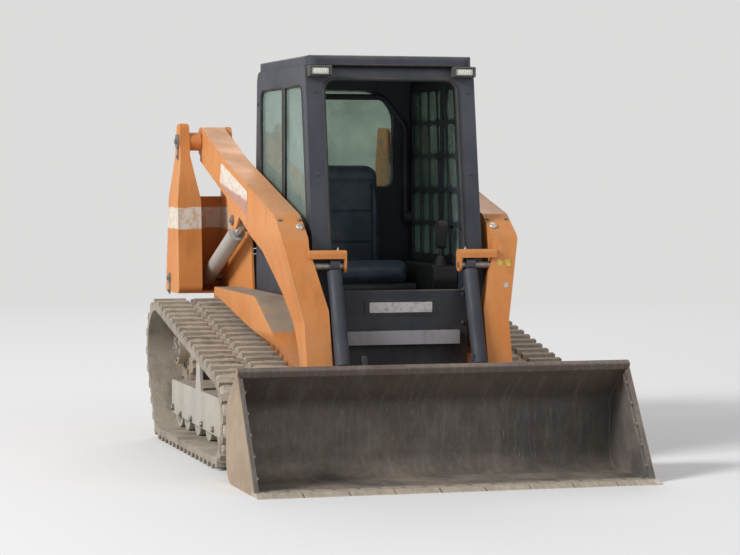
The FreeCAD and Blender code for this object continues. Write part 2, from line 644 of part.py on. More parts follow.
def arm_pins():
    """Hinge pin and tilt base pin in their bores; the lift rod's pin as two stubs in its ears."""
    pins = [bar_y(HINGE_X, HINGE_Z, HINGE_PIN_R, LEG_IN_Y, LEG_OUT_Y),
            bar_y(TILT_BASE_X, TILT_BASE_Z, CYLINDER_PIN_R, TILT_BRACKET_Y, ARM_IN_Y + ARM_PLATE)]
    for y0, head_y in ((ARM_IN_Y, ARM_IN_Y - 10), (ARM_OUT_Y - ARM_PLATE, ARM_OUT_Y)):
        stub = bar_y(LIFT_EYE_X, LIFT_EYE_Z, CYLINDER_PIN_R, y0, y0 + ARM_PLATE)
        head = bar_y(LIFT_EYE_X, LIFT_EYE_Z, CYLINDER_PIN_R + 10, head_y, head_y + 10)
        pins.append(fuse([stub, head]))
    return pins


def arm_cross_tube():
    return bar_y(CROSS_TUBE_X, CROSS_TUBE_Z, CROSS_TUBE_R, -LEG_IN_Y, LEG_IN_Y)


def direction(start, end):
    return (end - start).normalize()


def barrel(base, tip, size):
    """A cylinder's barrel with its base eye: a tube closed behind, with a gland that guides the rod."""
    along = direction(base, tip)
    gland = base + along * size["gland"]
    body = bar(base + along * size["eye"], gland, size["barrel"])
    bore = bar(base + along * (size["eye"] + 30), gland - along * GLAND, size["bore"])
    guide = bar(gland - along * (GLAND + 1), gland + along, size["rod"] + PIN_GAP)
    half = size["eye_width"] / 2
    eye = bar_y(base.x, base.z, size["eye"] + 6, base.y - half, base.y + half)
    body = body.cut(bore).fuse(eye).cut(guide)
    return body.cut(bar_y(base.x, base.z, CYLINDER_PIN_R + PIN_GAP, base.y - half - 20,
                          base.y + half + 20)).removeSplitter()


def rod(base, tip, size):
    """A cylinder's chromed rod with its eye, reaching back inside the barrel to its piston."""
    along = direction(base, tip)
    body = bar(base + along * size["rod_end"], tip, size["rod"])
    piston = bar(base + along * size["rod_end"], base + along * (size["rod_end"] + 40),
                 size["bore"] - PIN_GAP)
    half = size["eye_width"] / 2
    eye = bar_y(tip.x, tip.z, size["eye"], tip.y - half, tip.y + half)
    body = fuse([body, piston, eye])
    return body.cut(bar_y(tip.x, tip.z, CYLINDER_PIN_R + PIN_GAP, tip.y - half - 10, tip.y + half + 10))


def coupler_ears():
    """Inner face of each ear of the hinge and of the crank, on the left."""
    hinge = (LEG_IN_Y + ARM_PLATE + EAR_GAP, LEG_OUT_Y - ARM_PLATE - EAR_GAP - EAR)
    crank = (TILT_Y - TILT_FORK - EAR, TILT_Y + TILT_FORK)
    return hinge, crank


def coupler():
    """The quick coupler: a plate with pairs of ears for the hinge pins and the tilt rods."""
    hinge_ears, crank_ears = coupler_ears()
    wide = hinge_ears[1] + EAR
    narrow = crank_ears[1] + EAR
    ear_top = CRANK_Z + CRANK_EAR_UP
    slot = (crank_ears[0] + EAR, crank_ears[1])
    half = [
        (wide, COUPLER_Z0, 15), (wide, COUPLER_NOTCH_Z), (narrow, COUPLER_NOTCH_Z), (narrow, ear_top),
        (slot[1], ear_top), (slot[1], COUPLER_SLOT_Z), (slot[0], COUPLER_SLOT_Z), (slot[0], ear_top),
        (COUPLER_TOP_Y, ear_top), (COUPLER_TOP_Y, COUPLER_Z1, 30),
    ]
    other = [(-corner[0],) + corner[1:] for corner in reversed(half)]
    plate = front_plate(half + other, COUPLER_BACK_X, BUCKET_BACK_X)
    plate = plate.cut(front_plate([(-250, 190, 40), (250, 190, 40), (250, 390, 40), (-250, 390, 40)],
                                  COUPLER_BACK_X - 1, BUCKET_BACK_X + 1))
    root_x = COUPLER_BACK_X - 5
    pieces = [plate]
    for y in hinge_ears:
        ear = hull_of_circles([(HINGE_X, HINGE_Z, HINGE_BOSS_R - 6), (root_x, COUPLER_Z0 + 25, 6),
                               (root_x, COUPLER_NOTCH_Z - 12, 6)], y, y + EAR)
        pieces.append(ear.cut(bar_y(HINGE_X, HINGE_Z, HINGE_PIN_R + PIN_GAP, y, y + EAR)))
    for y in crank_ears:
        ear = hull_of_circles([(CRANK_X, CRANK_Z, 32), (root_x, COUPLER_SLOT_Z - CRANK_EAR_DOWN, 6),
                               (root_x, ear_top - 6, 6)], y, y + EAR)
        pieces.append(ear.cut(bar_y(CRANK_X, CRANK_Z, CYLINDER_PIN_R, y, y + EAR)))
    pieces += [mirrored(piece) for piece in pieces[1:]]
    pieces.append(box(COUPLER_BACK_X - 28, COUPLER_BACK_X + 1, -COUPLER_TOP_Y, COUPLER_TOP_Y,
                      COUPLER_Z1 - 50, COUPLER_Z1 - 20))
    return fuse(pieces)


def crank_pins():
    """The tilt rod's pin, as two stubs in the coupler's ears."""
    return [bar_y(CRANK_X, CRANK_Z, CYLINDER_PIN_R, y, y + EAR) for y in coupler_ears()[1]]


def bucket():
    """The bucket: floor, curved heel, back and sloping top in one bent plate, with its two side plates."""
    half = BUCKET_WIDTH / 2
    t = BUCKET_PLATE
    outer = [
        (EDGE_REAR_X, 0.0), (BUCKET_BACK_X, 0.0, 110), (BUCKET_BACK_X, BUCKET_SHOULDER_Z, 90),
        (BUCKET_LIP_X, BUCKET_LIP_Z),
        (BUCKET_LIP_X + 28, BUCKET_LIP_Z - 28), (EDGE_REAR_X + 60, EDGE_T), (EDGE_REAR_X, EDGE_T),
    ]
    slope = math.atan2(BUCKET_LIP_Z - BUCKET_SHOULDER_Z, BUCKET_LIP_X - BUCKET_BACK_X)
    shoulder_in = BUCKET_SHOULDER_Z - t * (1 - math.sin(slope)) / math.cos(slope)
    reach = 400.0
    inner = [
        (EDGE_REAR_X + reach, t), (BUCKET_BACK_X + t, t, 110 - t), (BUCKET_BACK_X + t, shoulder_in, 90 - t),
        (BUCKET_BACK_X + t + reach * math.cos(slope), shoulder_in + reach * math.sin(slope)),
        (EDGE_REAR_X + reach, BUCKET_LIP_Z + 300),
    ]
    shell = side_plate(outer, -half, half).cut(side_plate(inner, -half + t, half - t))
    lip = side_plate([
        (BUCKET_LIP_X - 22, BUCKET_LIP_Z - 18), (BUCKET_LIP_X + 14, BUCKET_LIP_Z - 34, 8),
        (BUCKET_LIP_X + 30, BUCKET_LIP_Z + 2, 8), (BUCKET_LIP_X - 2, BUCKET_LIP_Z + 20, 8),
    ], -half, half)
    edge = side_plate([(EDGE_REAR_X + 58, EDGE_T), (BUCKET_LIP_X + 28, BUCKET_LIP_Z - 30),
                       (BUCKET_LIP_X - 18, BUCKET_LIP_Z - 66),
                       (EDGE_REAR_X - 12, EDGE_T)], half - 2 * t, half - t + 1)
    rib = side_plate([(BUCKET_BACK_X + 1, 90), (BUCKET_BACK_X + 1, 340), (BUCKET_BACK_X - 30, 320, 10),
                      (BUCKET_BACK_X - 30, 110, 10)], 0, 12)
    ribs = [rib.translated(Vector(0, y, 0)) for y in (-912, -712, 700, 900)]
    return fuse([shell, lip, edge, mirrored(edge)] + ribs)


def cutting_edge():
    """The bevelled blade along the floor's front, notched between its wear lengths."""
    half = BUCKET_WIDTH / 2
    blade = side_plate([(EDGE_REAR_X, 0), (FRONT_X, 0), (FRONT_X, EDGE_T / 4), (FRONT_X - EDGE_BEVEL, EDGE_T),
                        (EDGE_REAR_X, EDGE_T)], -half, half)
    for i in range(1, EDGE_SECTIONS):
        y = -half + BUCKET_WIDTH * i / EDGE_SECTIONS
        blade = blade.cut(box(FRONT_X - EDGE_BEVEL, FRONT_X + 1, y - EDGE_NOTCH / 2, y + EDGE_NOTCH / 2, -1,
                              EDGE_T + 1))
    return blade


def cab_front_x(z):
    """Where the cab's leaning front face is at a height."""
    return CAB_SILL_X + (CAB_FRONT_TOP_X - CAB_SILL_X) * (z - SILL_Z) / (CAB_TOP_Z - SILL_Z)


def window_corners(inset):
    """The side window's outline: upright behind, leaning with the cab's front pillar."""
    front_in = WINDOW_FRONT_POST + inset
    z0, z1 = WINDOW_SILL_Z + inset, WINDOW_TOP_Z - inset
    return [(WINDOW_REAR_X + inset, z0, 60), (cab_front_x(z0) - front_in, z0, 60),
            (cab_front_x(z1) - front_in, z1, 60), (WINDOW_REAR_X + inset, z1, 60)]


def rear_window_corners(inset):
    """The rear window's outline, with an arched top."""
    half = REAR_WINDOW_HALF - inset
    z0, z1 = REAR_WINDOW_SILL_Z + inset, REAR_WINDOW_TOP_Z - inset
    return [(-half, z0, 50), (half, z0, 50), (half, z1, 190), (-half, z1, 190)]


def cab_frame():
    """The cab's welded shell: floor, sides, back and four pillars, open in front above the sill."""
    whole = side_plate([
        (CAB_REAR_X, CAB_FLOOR_Z, 20), (640.0, CAB_FLOOR_Z, 20), (CAB_SILL_X, SILL_Z, 30),
        (CAB_FRONT_TOP_X, CAB_TOP_Z, 40), (CAB_REAR_X + REAR_LEAN, CAB_TOP_Z, 60),
        (CAB_REAR_X, REAR_KNEE_Z, 60),
    ], -CAB_Y, CAB_Y)
    w = CAB_WALL
    room = side_plate([
        (CAB_REAR_X + w, CAB_FLOOR_Z + w), (640.0 - w, CAB_FLOOR_Z + w), (CAB_SILL_X - w, SILL_Z),
        (CAB_FRONT_TOP_X - w, CAB_TOP_Z - w), (CAB_REAR_X + REAR_LEAN + w, CAB_TOP_Z - w),
        (CAB_REAR_X + w, REAR_KNEE_Z),
    ], -CAB_Y + w, CAB_Y - w)
    doorway = front_plate([(-DOOR_HALF, SILL_Z, 30), (DOOR_HALF, SILL_Z, 30), (DOOR_HALF, HEADER_Z, 60),
                           (-DOOR_HALF, HEADER_Z, 60)], 300.0, 800.0)
    front_reach = side_plate([(cab_front_x(SILL_Z) - 70, SILL_Z - 10), (900, SILL_Z - 10),
                              (900, HEADER_Z + 10),
                              (cab_front_x(HEADER_Z) - 70, HEADER_Z + 10)], -CAB_Y, CAB_Y)
    shell = whole.cut(room).cut(doorway.common(front_reach))
    window = side_plate(window_corners(0.0), -CAB_Y - 5, CAB_Y + 5)
    post = side_plate([(POST_X - POST_W / 2, WINDOW_SILL_Z - 5), (POST_X + POST_W / 2, WINDOW_SILL_Z - 5),
                       (POST_X + POST_W / 2, WINDOW_TOP_Z + 5), (POST_X - POST_W / 2, WINDOW_TOP_Z + 5)],
                      -CAB_Y - 10, CAB_Y + 10)
    shell = shell.cut(window.cut(post))
    shell = shell.cut(front_plate(rear_window_corners(0.0), CAB_REAR_X - 5, CAB_REAR_X + 90))
    pin = bar_y(BAR_PIVOT_X, BAR_PIVOT_Z, BAR_PIN_R, BAR_HALF - 15, CAB_Y - w + 1)
    return fuse([shell, pin, mirrored(pin)])


def side_glass():
    """Two panes of one side window, either side of its post."""
    y = CAB_Y - CAB_WALL / 2
    pane = side_plate(window_corners(SEAT_GAP), y - GLASS / 2, y + GLASS / 2)
    slot = box(POST_X - POST_W / 2 - SEAT_GAP, POST_X + POST_W / 2 + SEAT_GAP, 0, CAB_Y, SILL_Z, CAB_TOP_Z)
    return pane.cut(slot)


def rear_glass():
    """The rear window's pane, following the back wall's lean and its knee."""
    mid = CAB_WALL / 2
    low_z = REAR_WINDOW_SILL_Z - 10
    sheet = side_plate([
        (CAB_REAR_X + mid, low_z), (CAB_REAR_X + mid + GLASS, low_z), (CAB_REAR_X + mid + GLASS, REAR_KNEE_Z),
        (CAB_REAR_X + REAR_LEAN + mid + GLASS, CAB_TOP_Z), (CAB_REAR_X + REAR_LEAN + mid, CAB_TOP_Z),
        (CAB_REAR_X + mid, REAR_KNEE_Z),
    ], -CAB_Y, CAB_Y)
    return sheet.common(front_plate(rear_window_corners(SEAT_GAP), CAB_REAR_X - 5, CAB_REAR_X + 90))


def side_screen():
    """The guard inside a side window: one plate punched with rows of rounded openings."""
    y0 = CAB_Y - CAB_WALL - SCREEN
    y1 = CAB_Y - CAB_WALL
    low, high = WINDOW_SILL_Z - SCREEN_LAP, WINDOW_TOP_Z + SCREEN_LAP
    inset = WINDOW_FRONT_POST - SCREEN_LAP
    plate = side_plate([(SCREEN_REAR_X, low, 20), (cab_front_x(low) - inset, low, 20),
                        (cab_front_x(high) - inset, high, 20), (SCREEN_REAR_X, high, 20)], y0, y1)
    columns, rows = 6, 5
    bar_w = 22.0
    x0, z0 = WINDOW_REAR_X, WINDOW_SILL_Z
    cell_z = (WINDOW_TOP_Z - WINDOW_SILL_Z) / rows
    clip = 16.0

    def cell_x(z, column):
        return x0 + (cab_front_x(z) - WINDOW_FRONT_POST - x0) * column / columns

    cells = []
    for j in range(rows):
        low, high = z0 + j * cell_z + bar_w / 2, z0 + (j + 1) * cell_z - bar_w / 2
        for i in range(columns):
            left_low, right_low = cell_x(low, i) + bar_w / 2, cell_x(low, i + 1) - bar_w / 2
            left_high, right_high = cell_x(high, i) + bar_w / 2, cell_x(high, i + 1) - bar_w / 2
            cells.append(side_plate([
                (left_low + clip, low), (right_low - clip, low), (right_low, low + clip),
                (right_high, high - clip),
                (right_high - clip, high), (left_high + clip, high), (left_high, high - clip),
                (left_low, low + clip),
            ], y0 - 1, y1 + 1))
    return plate.cut(Part.makeCompound(cells))


def cab_roof():
    """The roof cap, a shallow tray over the cab's top that overhangs the front a little."""
    plan = [(CAB_REAR_X + 22, -CAB_Y + 8, 60), (CAB_FRONT_TOP_X + 25, -CAB_Y + 8, 60),
            (CAB_FRONT_TOP_X + 25, CAB_Y - 8, 60), (CAB_REAR_X + 22, CAB_Y - 8, 60)]
    cap = flat_plate(plan, CAB_TOP_Z, CAB_TOP_Z + ROOF_T)
    sides = front_plate([(-CAB_Y, CAB_TOP_Z - 1), (CAB_Y, CAB_TOP_Z - 1), (CAB_Y, CAB_TOP_Z + ROOF_T, 28),
                         (-CAB_Y, CAB_TOP_Z + ROOF_T, 28)], CAB_REAR_X, CAB_FRONT_TOP_X + 60)
    ends = side_plate([(CAB_REAR_X, CAB_TOP_Z - 1), (CAB_FRONT_TOP_X + 26, CAB_TOP_Z - 1),
                       (CAB_FRONT_TOP_X + 26, CAB_TOP_Z + ROOF_T, 30), (CAB_REAR_X, CAB_TOP_Z + ROOF_T, 60)],
                      -CAB_Y - 10, CAB_Y + 10)
    cap = cap.common(sides).common(ends)
    return cap


def work_lamps():
    """A lamp on the cab's header at each upper front corner."""
    z0, z1 = HEADER_Z + 4, CAB_TOP_Z - 4
    depth = 58.0
    body = side_plate([(cab_front_x(z0), z0), (cab_front_x(z0) + depth, z0 + 4, 8),
                       (cab_front_x(z1) + depth + 8, z1, 8), (cab_front_x(z1), z1)], 325.0, 440.0)
    face = side_plate([(cab_front_x(z0) + depth - 12, z0 + 9), (cab_front_x(z0) + depth + 60, z0 + 9),
                       (cab_front_x(z1) + depth + 60, z1 - 9),
                       (cab_front_x(z1) + depth - 4, z1 - 9)], 335.0, 430.0)
    return pair(body.cut(face))


def rear_lamps():
    """A tail lamp on each tower's back plate."""
    z0, z1 = 1010.0, 1110.0
    lamp = side_plate([(tower_back_x(z0), z0), (tower_back_x(z1), z1), (tower_back_x(z1) - 30, z1 - 4, 8),
                       (tower_back_x(z0) - 30, z0 + 4, 8)], 495.0, 615.0)
    return pair(lamp)


def front_step():
    """The dark front panel under the cab's sill, with a ribbed tread and a raised plate."""
    x0 = CAB_SILL_X + 8.0
    x1 = x0 + 8.0
    half = NOSE_PANEL_Y - 1.0
    panel = front_plate([(-half, 425, 10), (half, 425, 10), (half, SILL_Z + NOSE_TOP_OVER_SILL, 20),
                         (-half, SILL_Z + NOSE_TOP_OVER_SILL, 20)], x0, x1)
    pieces = [panel, box(TUB_FRONT_X, x0 + 1, -half, half, 440, 545)]
    pieces.append(box(x1 - 1, x1 + 45, -300, 300, 622, 690))
    pieces.append(front_plate([(-190, 770, 12), (190, 770, 12), (190, 846, 12),
                               (-190, 846, 12)], x1 - 1, x1 + 4))
    slots = []
    for i in range(9):
        y = -260 + i * 65 - 21
        slots.append(box(x1 + 10, x1 + 38, y, y + 42, 610, 700))
    return fuse(pieces).cut(Part.makeCompound(slots))


def hood():
    """The engine cover: a shell with a sloping front so that it clears the cab as it tips up."""
    z0 = DECK_Z + RUN_GAP
    x_rear = TUB_REAR_X + 5
    x_front = HOOD_HINGE_X + 22
    w = HOOD_WALL
    rim = [(x_rear, z0), (x_front, z0), (x_front, HOOD_HINGE_Z + 12, 10), (-850, HOOD_TOP_Z, 60),
           (-1480, HOOD_TOP_Z - 20, 60), (x_rear, HOOD_TOP_Z - 80, 30)]
    core = [(x_rear + w, z0 - 5), (x_front - w, z0 - 5), (x_front - w, HOOD_HINGE_Z + 9),
            (-852, HOOD_TOP_Z - w, 54), (-1480, HOOD_TOP_Z - 20 - w, 54), (x_rear + w, HOOD_TOP_Z - 84, 24)]
    shell = side_plate(rim, -HOOD_Y, HOOD_Y)
    sides = front_plate([(-HOOD_Y, z0), (HOOD_Y, z0), (HOOD_Y, HOOD_TOP_Z + 2, 50),
                         (-HOOD_Y, HOOD_TOP_Z + 2, 50)],
                        x_rear, x_front)
    shell = shell.common(sides).cut(side_plate(core, -HOOD_Y + w, HOOD_Y - w))
    slots = []
    for side in (-1, 1):
        y0, y1 = sorted((side * 150, side * 380))
        for i in range(7):
            x = -1400 + i * 62
            slots.append(box(x, x + 30, y0, y1, HOOD_TOP_Z - 50, HOOD_TOP_Z + 10))
    shell = shell.cut(Part.makeCompound(slots))
    return shell.cut(bar_y(HOOD_HINGE_X, HOOD_HINGE_Z, HOOD_PIN_R + PIN_GAP, -HOOD_Y - 5,
                           HOOD_Y + 5)).removeSplitter()


def hood_pivot():
    """The ear on the tub's rim that carries the hood's pin."""
    ear = side_plate([(HOOD_HINGE_X - 30, DECK_Z - 1), (HOOD_HINGE_X + 30, DECK_Z - 1),
                      (HOOD_HINGE_X + 22, HOOD_HINGE_Z + 22, 20), (HOOD_HINGE_X - 22, HOOD_HINGE_Z + 22, 20)],
                     TUB_Y - TUB_WALL, TUB_Y)
    return ear.fuse(bar_y(HOOD_HINGE_X, HOOD_HINGE_Z, HOOD_PIN_R, HOOD_Y - HOOD_WALL - 3, TUB_Y - 1))


def door_pivots():
    """The lugs and pins on the tub's tail that carry the door's knuckles."""
    pieces = []
    for z in DOOR_KNUCKLES:
        pieces.append(Part.makeCylinder(DOOR_PIN_R, DOOR_KNUCKLE + 2 * DOOR_LUG + 2,
                                        Vector(DOOR_HINGE_X, DOOR_HINGE_Y, z - DOOR_LUG - 1)))
        for z0 in (z - DOOR_LUG - 1, z + DOOR_KNUCKLE + 1):
            pieces.append(Part.makeCylinder(8, DOOR_LUG, Vector(DOOR_HINGE_X, DOOR_HINGE_Y, z0)))
            pieces.append(box(DOOR_HINGE_X, TUB_REAR_X + 1, DOOR_HINGE_Y - 8, DOOR_HINGE_Y + 8, z0,
                              z0 + DOOR_LUG))
    return pieces


def rear_door():
    """The tail door with a louvred panel, hinged on the left by two knuckles."""
    front_x = TUB_REAR_X - RUN_GAP
    z0, z1 = DOOR_Z0, DOOR_Z1
    half = DOOR_PANEL_Y
    vent = half - 80
    frame = front_plate([(-half, z0, 30), (half, z0, 30), (half, z1, 30),
                         (-half, z1, 30)], DOOR_REAR_X, front_x)
    frame = frame.cut(front_plate([(-vent, 560, 25), (vent, 560, 25), (vent, 1040, 25), (-vent, 1040, 25)],
                                  DOOR_REAR_X - 1, front_x + 1))
    frame = frame.cut(box(DOOR_REAR_X + 8, front_x + 1, 15 - half, half - 15, z0 + 15, z1 - 15).cut(
        box(DOOR_REAR_X, front_x + 2, -vent - 15, vent + 15, 545, 1055)))
    slats = []
    for i in range(12):
        z = 566.0 + i * 40.0
        slats.append(side_plate([(DOOR_REAR_X + 5, z), (DOOR_REAR_X + 12, z), (front_x - 5, z + 30),
                                 (front_x - 12, z + 30)], -vent - 1, vent + 1))
    knuckles = []
    bores = []
    for z in DOOR_KNUCKLES:
        knuckles.append(Part.makeCylinder(DOOR_KNUCKLE_R, DOOR_KNUCKLE,
                                          Vector(DOOR_HINGE_X, DOOR_HINGE_Y, z)))
        knuckles.append(box(DOOR_HINGE_X - 6, DOOR_HINGE_X + 6, half - 10, DOOR_HINGE_Y, z, z + DOOR_KNUCKLE))
        bores.append(Part.makeCylinder(DOOR_PIN_R + PIN_GAP, DOOR_KNUCKLE + 2,
                                       Vector(DOOR_HINGE_X, DOOR_HINGE_Y, z - 1)))
    latch = box(DOOR_REAR_X - 14, DOOR_REAR_X, -half + 15, -half + 65, 800, 880)
    return fuse([frame] + slats + knuckles + [latch]).cut(Part.makeCompound(bores))


def seat_base():
    """The pan under the seat, a closed step in the cab's floor."""
    z0 = CAB_FLOOR_Z + CAB_WALL
    return side_plate([(-575, z0), (60, z0), (90, 900, 25), (-575, 900)], -262, 262)


def seat_cushion():
    """The cushion, tipped up a little in front."""
    plan = flat_plate([(-412, -235, 80), (114, -235, 90), (114, 235, 90), (-412, 235, 80)], 880, 1100)
    side = side_plate([(-400, 900 + SEAT_GAP, 30), (95, 900 + SEAT_GAP, 40), (100, SEAT_TOP_Z + 12, 50),
                       (-400, SEAT_TOP_Z - 12, 20)], -250, 250)
    return plan.common(side)


def seat_back():
    """The high back with rounded shoulders."""
    side = side_plate([(-410 - SEAT_GAP, 900 + SEAT_GAP, 20), (-500, 900 + SEAT_GAP, 30),
                       (-550, 1552, 50), (-445, 1552, 45)], -250, 250)
    shape = front_plate([(-225, 890, 40), (225, 890, 40), (235, 1290, 60), (205, 1554, 90), (-205, 1554, 90),
                         (-235, 1290, 60)], -600, -380)
    return side.common(shape)


def console():
    """The box beside the seat that carries a control lever."""
    z0 = CAB_FLOOR_Z + CAB_WALL
    return side_plate([(-480, z0, 10), (240, z0, 40), (330, 930, 50), (310, 1000, 30),
                       (-480, 1000, 40)], 285, 412)


def joysticks():
    """A control lever on each console: boot, stem and grip."""
    y = 345.0
    x = 255.0
    z = 1000.0
    boot = Part.makeCone(42, 20, 50, Vector(x, y, z))
    stem = Part.makeCylinder(9, 90, Vector(x, y, z + 40))
    grip = hull_of_circles([(x - 2, z + 110, 20), (x + 2, z + 110, 20), (x + 22, z + 210, 24),
                            (x + 8, z + 214, 22)],
                           y - 24, y + 24)
    return pair(fuse([boot, stem, grip]))


def tube_along(points, r, bend):
    """A round tube whose centre line bends at the inner points."""
    edges = []
    start = points[0]
    for before, corner, after in zip(points, points[1:], points[2:]):
        first, middle, last = corner_points(before, corner, after, bend)
        edges.append(Part.LineSegment(start, first).toShape())
        edges.append(Part.Arc(first, middle, last).toShape())
        start = last
    edges.append(Part.LineSegment(start, points[-1]).toShape())
    section = Part.Wire([Part.Circle(points[0], points[1] - points[0], r).toShape()])
    return Part.Wire(edges).makePipeShell([section], True, False)


def restraint_bar():
    """The lap bar, swung up: two side arms and the hoop over the seat's back, on two pivot bosses."""
    x, z, y = BAR_PIVOT_X, BAR_PIVOT_Z, BAR_HALF
    half_path = [Vector(x + 4, y, z + 10), Vector(x - 6, y, z + 500), Vector(x - 10, y - 130, z + 665)]
    path = half_path + [Vector(p.x, -p.y, p.z) for p in reversed(half_path)]
    pieces = [tube_along(path, BAR_R, 60.0)]
    bore_r = BAR_PIN_R + PIN_GAP
    for side in (1, -1):
        y0, y1 = sorted((side * (y - 17), side * (CAB_Y - CAB_WALL - RUN_GAP)))
        pieces.append(bar_y(x, z, 32, y0, y1))
    whole = fuse(pieces)
    return whole.cut(bar_y(x, z, bore_r, -CAB_Y, CAB_Y))


def coupler_levers():
    """The two locking levers on the coupler's back, each with its pivot boss and hand grip."""
    x = COUPLER_BACK_X
    y = 262.0
    boss = bar(Vector(x - 28, y, 445), Vector(x - 54, y, 445), 22)
    arm = front_plate([(y - 12, 440), (y + 12, 440), (y + 32, 590, 8), (y + 8, 590, 8)], x - 54, x - 42)
    return pair(fuse([boss, arm]))


def cylinder_nodes(name, base, tip, size):
    """Both pieces of one cylinder on each side."""
    left_barrel = barrel(base, tip, size)
    left_rod = rod(base, tip, size)
    return {
        name + "_barrel_left": left_barrel, name + "_barrel_right": mirrored(left_barrel),
        name + "_rod_left": left_rod, name + "_rod_right": mirrored(left_rod),
    }


def build_nodes():
    """Every node of the machine, by name."""
    wheels = track_wheels()
    nodes = {"tub": tub(), "engine_block": engine_block(), "rear_bumper": rear_bumper(),
             "front_step": front_step()}
    sides = {
        "tower": tower(), "track_frame": track_frame(), "sprocket": sprocket(), "track": track(),
        "lift_arm": lift_arm(), "console": console(), "track_wheels": Part.makeCompound(wheels),
    }
    for name, shape in sides.items():
        nodes[name + "_left"] = shape
        nodes[name + "_right"] = mirrored(shape)
    fixed_pins = chassis_pins()
    nodes["chassis_pins"] = Part.makeCompound(fixed_pins + [mirrored(p) for p in fixed_pins])
    swung_pins = arm_pins()
    nodes["arm_pins"] = Part.makeCompound(swung_pins + [mirrored(p) for p in swung_pins])
    nodes["arm_cross_tube"] = arm_cross_tube()
    nodes["cab_frame"] = cab_frame()
    nodes["cab_roof"] = cab_roof()
    nodes["side_glass"] = pair(side_glass())
    nodes["side_screens"] = pair(side_screen())
    nodes["rear_glass"] = rear_glass()
    nodes["work_lamps"] = work_lamps()
    nodes["rear_lamps"] = rear_lamps()
    nodes["hood"] = hood()
    nodes["rear_door"] = rear_door()
    nodes["seat_base"] = seat_base()
    nodes["seat_cushion"] = seat_cushion()
    nodes["seat_back"] = seat_back()
    nodes["joysticks"] = joysticks()
    nodes["restraint_bar"] = restraint_bar()
    nodes["coupler"] = coupler()
    crank = crank_pins()
    nodes["crank_pins"] = Part.makeCompound(crank + [mirrored(p) for p in crank])
    nodes["coupler_levers"] = coupler_levers()
    nodes["bucket"] = bucket()
    nodes["cutting_edge"] = cutting_edge()
    lift_base = Vector(LIFT_BASE_X, ARM_MID_Y, LIFT_BASE_Z)
    lift_tip = Vector(LIFT_EYE_X, ARM_MID_Y, LIFT_EYE_Z)
    nodes.update(cylinder_nodes("lift", lift_base, lift_tip, LIFT_CYLINDER))
    tilt_base = Vector(TILT_BASE_X, TILT_Y, TILT_BASE_Z)
    tilt_tip = Vector(CRANK_X, TILT_Y, CRANK_Z)
    nodes.update(cylinder_nodes("tilt", tilt_base, tilt_tip, TILT_CYLINDER))
    return nodes


def main():
    os.makedirs("parts", exist_ok=True)
    for name, shape in build_nodes().items():
        shape.exportStep(os.path.join("parts", name + ".step"))


main()
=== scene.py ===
import bmesh
import bpy
import functools
import json
import math
from mathutils import Matrix, Vector, noise


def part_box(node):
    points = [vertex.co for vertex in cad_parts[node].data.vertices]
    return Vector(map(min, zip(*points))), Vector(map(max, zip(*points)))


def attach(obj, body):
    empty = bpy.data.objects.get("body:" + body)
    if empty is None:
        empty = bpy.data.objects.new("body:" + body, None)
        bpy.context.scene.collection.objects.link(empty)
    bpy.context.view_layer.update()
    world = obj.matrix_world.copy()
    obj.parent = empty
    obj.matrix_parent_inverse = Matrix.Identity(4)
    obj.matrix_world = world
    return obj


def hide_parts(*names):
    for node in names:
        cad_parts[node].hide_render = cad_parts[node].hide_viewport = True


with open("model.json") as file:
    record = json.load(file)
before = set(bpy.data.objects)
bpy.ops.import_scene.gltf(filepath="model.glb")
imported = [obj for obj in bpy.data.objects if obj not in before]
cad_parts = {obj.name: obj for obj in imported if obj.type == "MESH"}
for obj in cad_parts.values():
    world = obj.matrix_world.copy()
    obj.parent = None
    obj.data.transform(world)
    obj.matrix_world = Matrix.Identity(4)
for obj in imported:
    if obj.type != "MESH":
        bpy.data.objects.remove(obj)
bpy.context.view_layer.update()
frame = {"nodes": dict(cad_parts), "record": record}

# A tracked skid steer loader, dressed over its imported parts. Metres, +X forward, +Y to its left, +Z up.

# Camera: the photograph's own place, turned and zoomed to fill the frame with the loader
CAMERA_AT = Vector((12.624, -3.548, 1.497))
CAMERA_AIM = Vector((0.0, 0.03, 0.93))
CAMERA_LENS_MM = 120.0
CAMERA_SENSOR_MM = 36.0

# Linear colours, read from the photograph
ORANGE, ORANGE_FADED = (0.62, 0.215, 0.046), (0.66, 0.285, 0.095)
BAND_WHITE = (0.72, 0.68, 0.60)
DECAL_RED = (0.34, 0.085, 0.055)
PALE_TREAD = (0.33, 0.32, 0.34)
RUST = (0.17, 0.066, 0.030)
BARE_STEEL = (0.33, 0.31, 0.29)
CHROME = (0.62, 0.62, 0.63)
# The bucket's inside: earth-stained steel, partly darkened with painted shade, and its lighter swept streaks
EARTH_WITH_PAINTED_SHADE, SWEPT_EARTH = (0.090, 0.083, 0.076), (0.155, 0.142, 0.130)
TAN, TAN_PALE = (0.30, 0.21, 0.14), (0.40, 0.31, 0.22)
DRY_EARTH, DRY_EARTH_PALE = (0.40, 0.345, 0.27), (0.54, 0.47, 0.375)
CLOD, CLOD_PALE, CRACK = (0.33, 0.285, 0.225), (0.52, 0.455, 0.365), (0.13, 0.11, 0.085)
DUST = (0.38, 0.315, 0.235)
TOP_DUST = (0.255, 0.225, 0.185)
SEAT_DUST = (0.20, 0.18, 0.16)
NAVY, NAVY_WORN = (0.038, 0.056, 0.090), (0.088, 0.112, 0.155)
RUBBER = (0.030, 0.027, 0.025)
SAGE = (0.27, 0.355, 0.325)
GLASS_GLOSS = (0.9, 0.92, 0.9)
FLOOR_PALE = (0.80, 0.795, 0.785)
SKY = (0.93, 0.95, 1.0)
BACKDROP = (0.72, 0.72, 0.715)

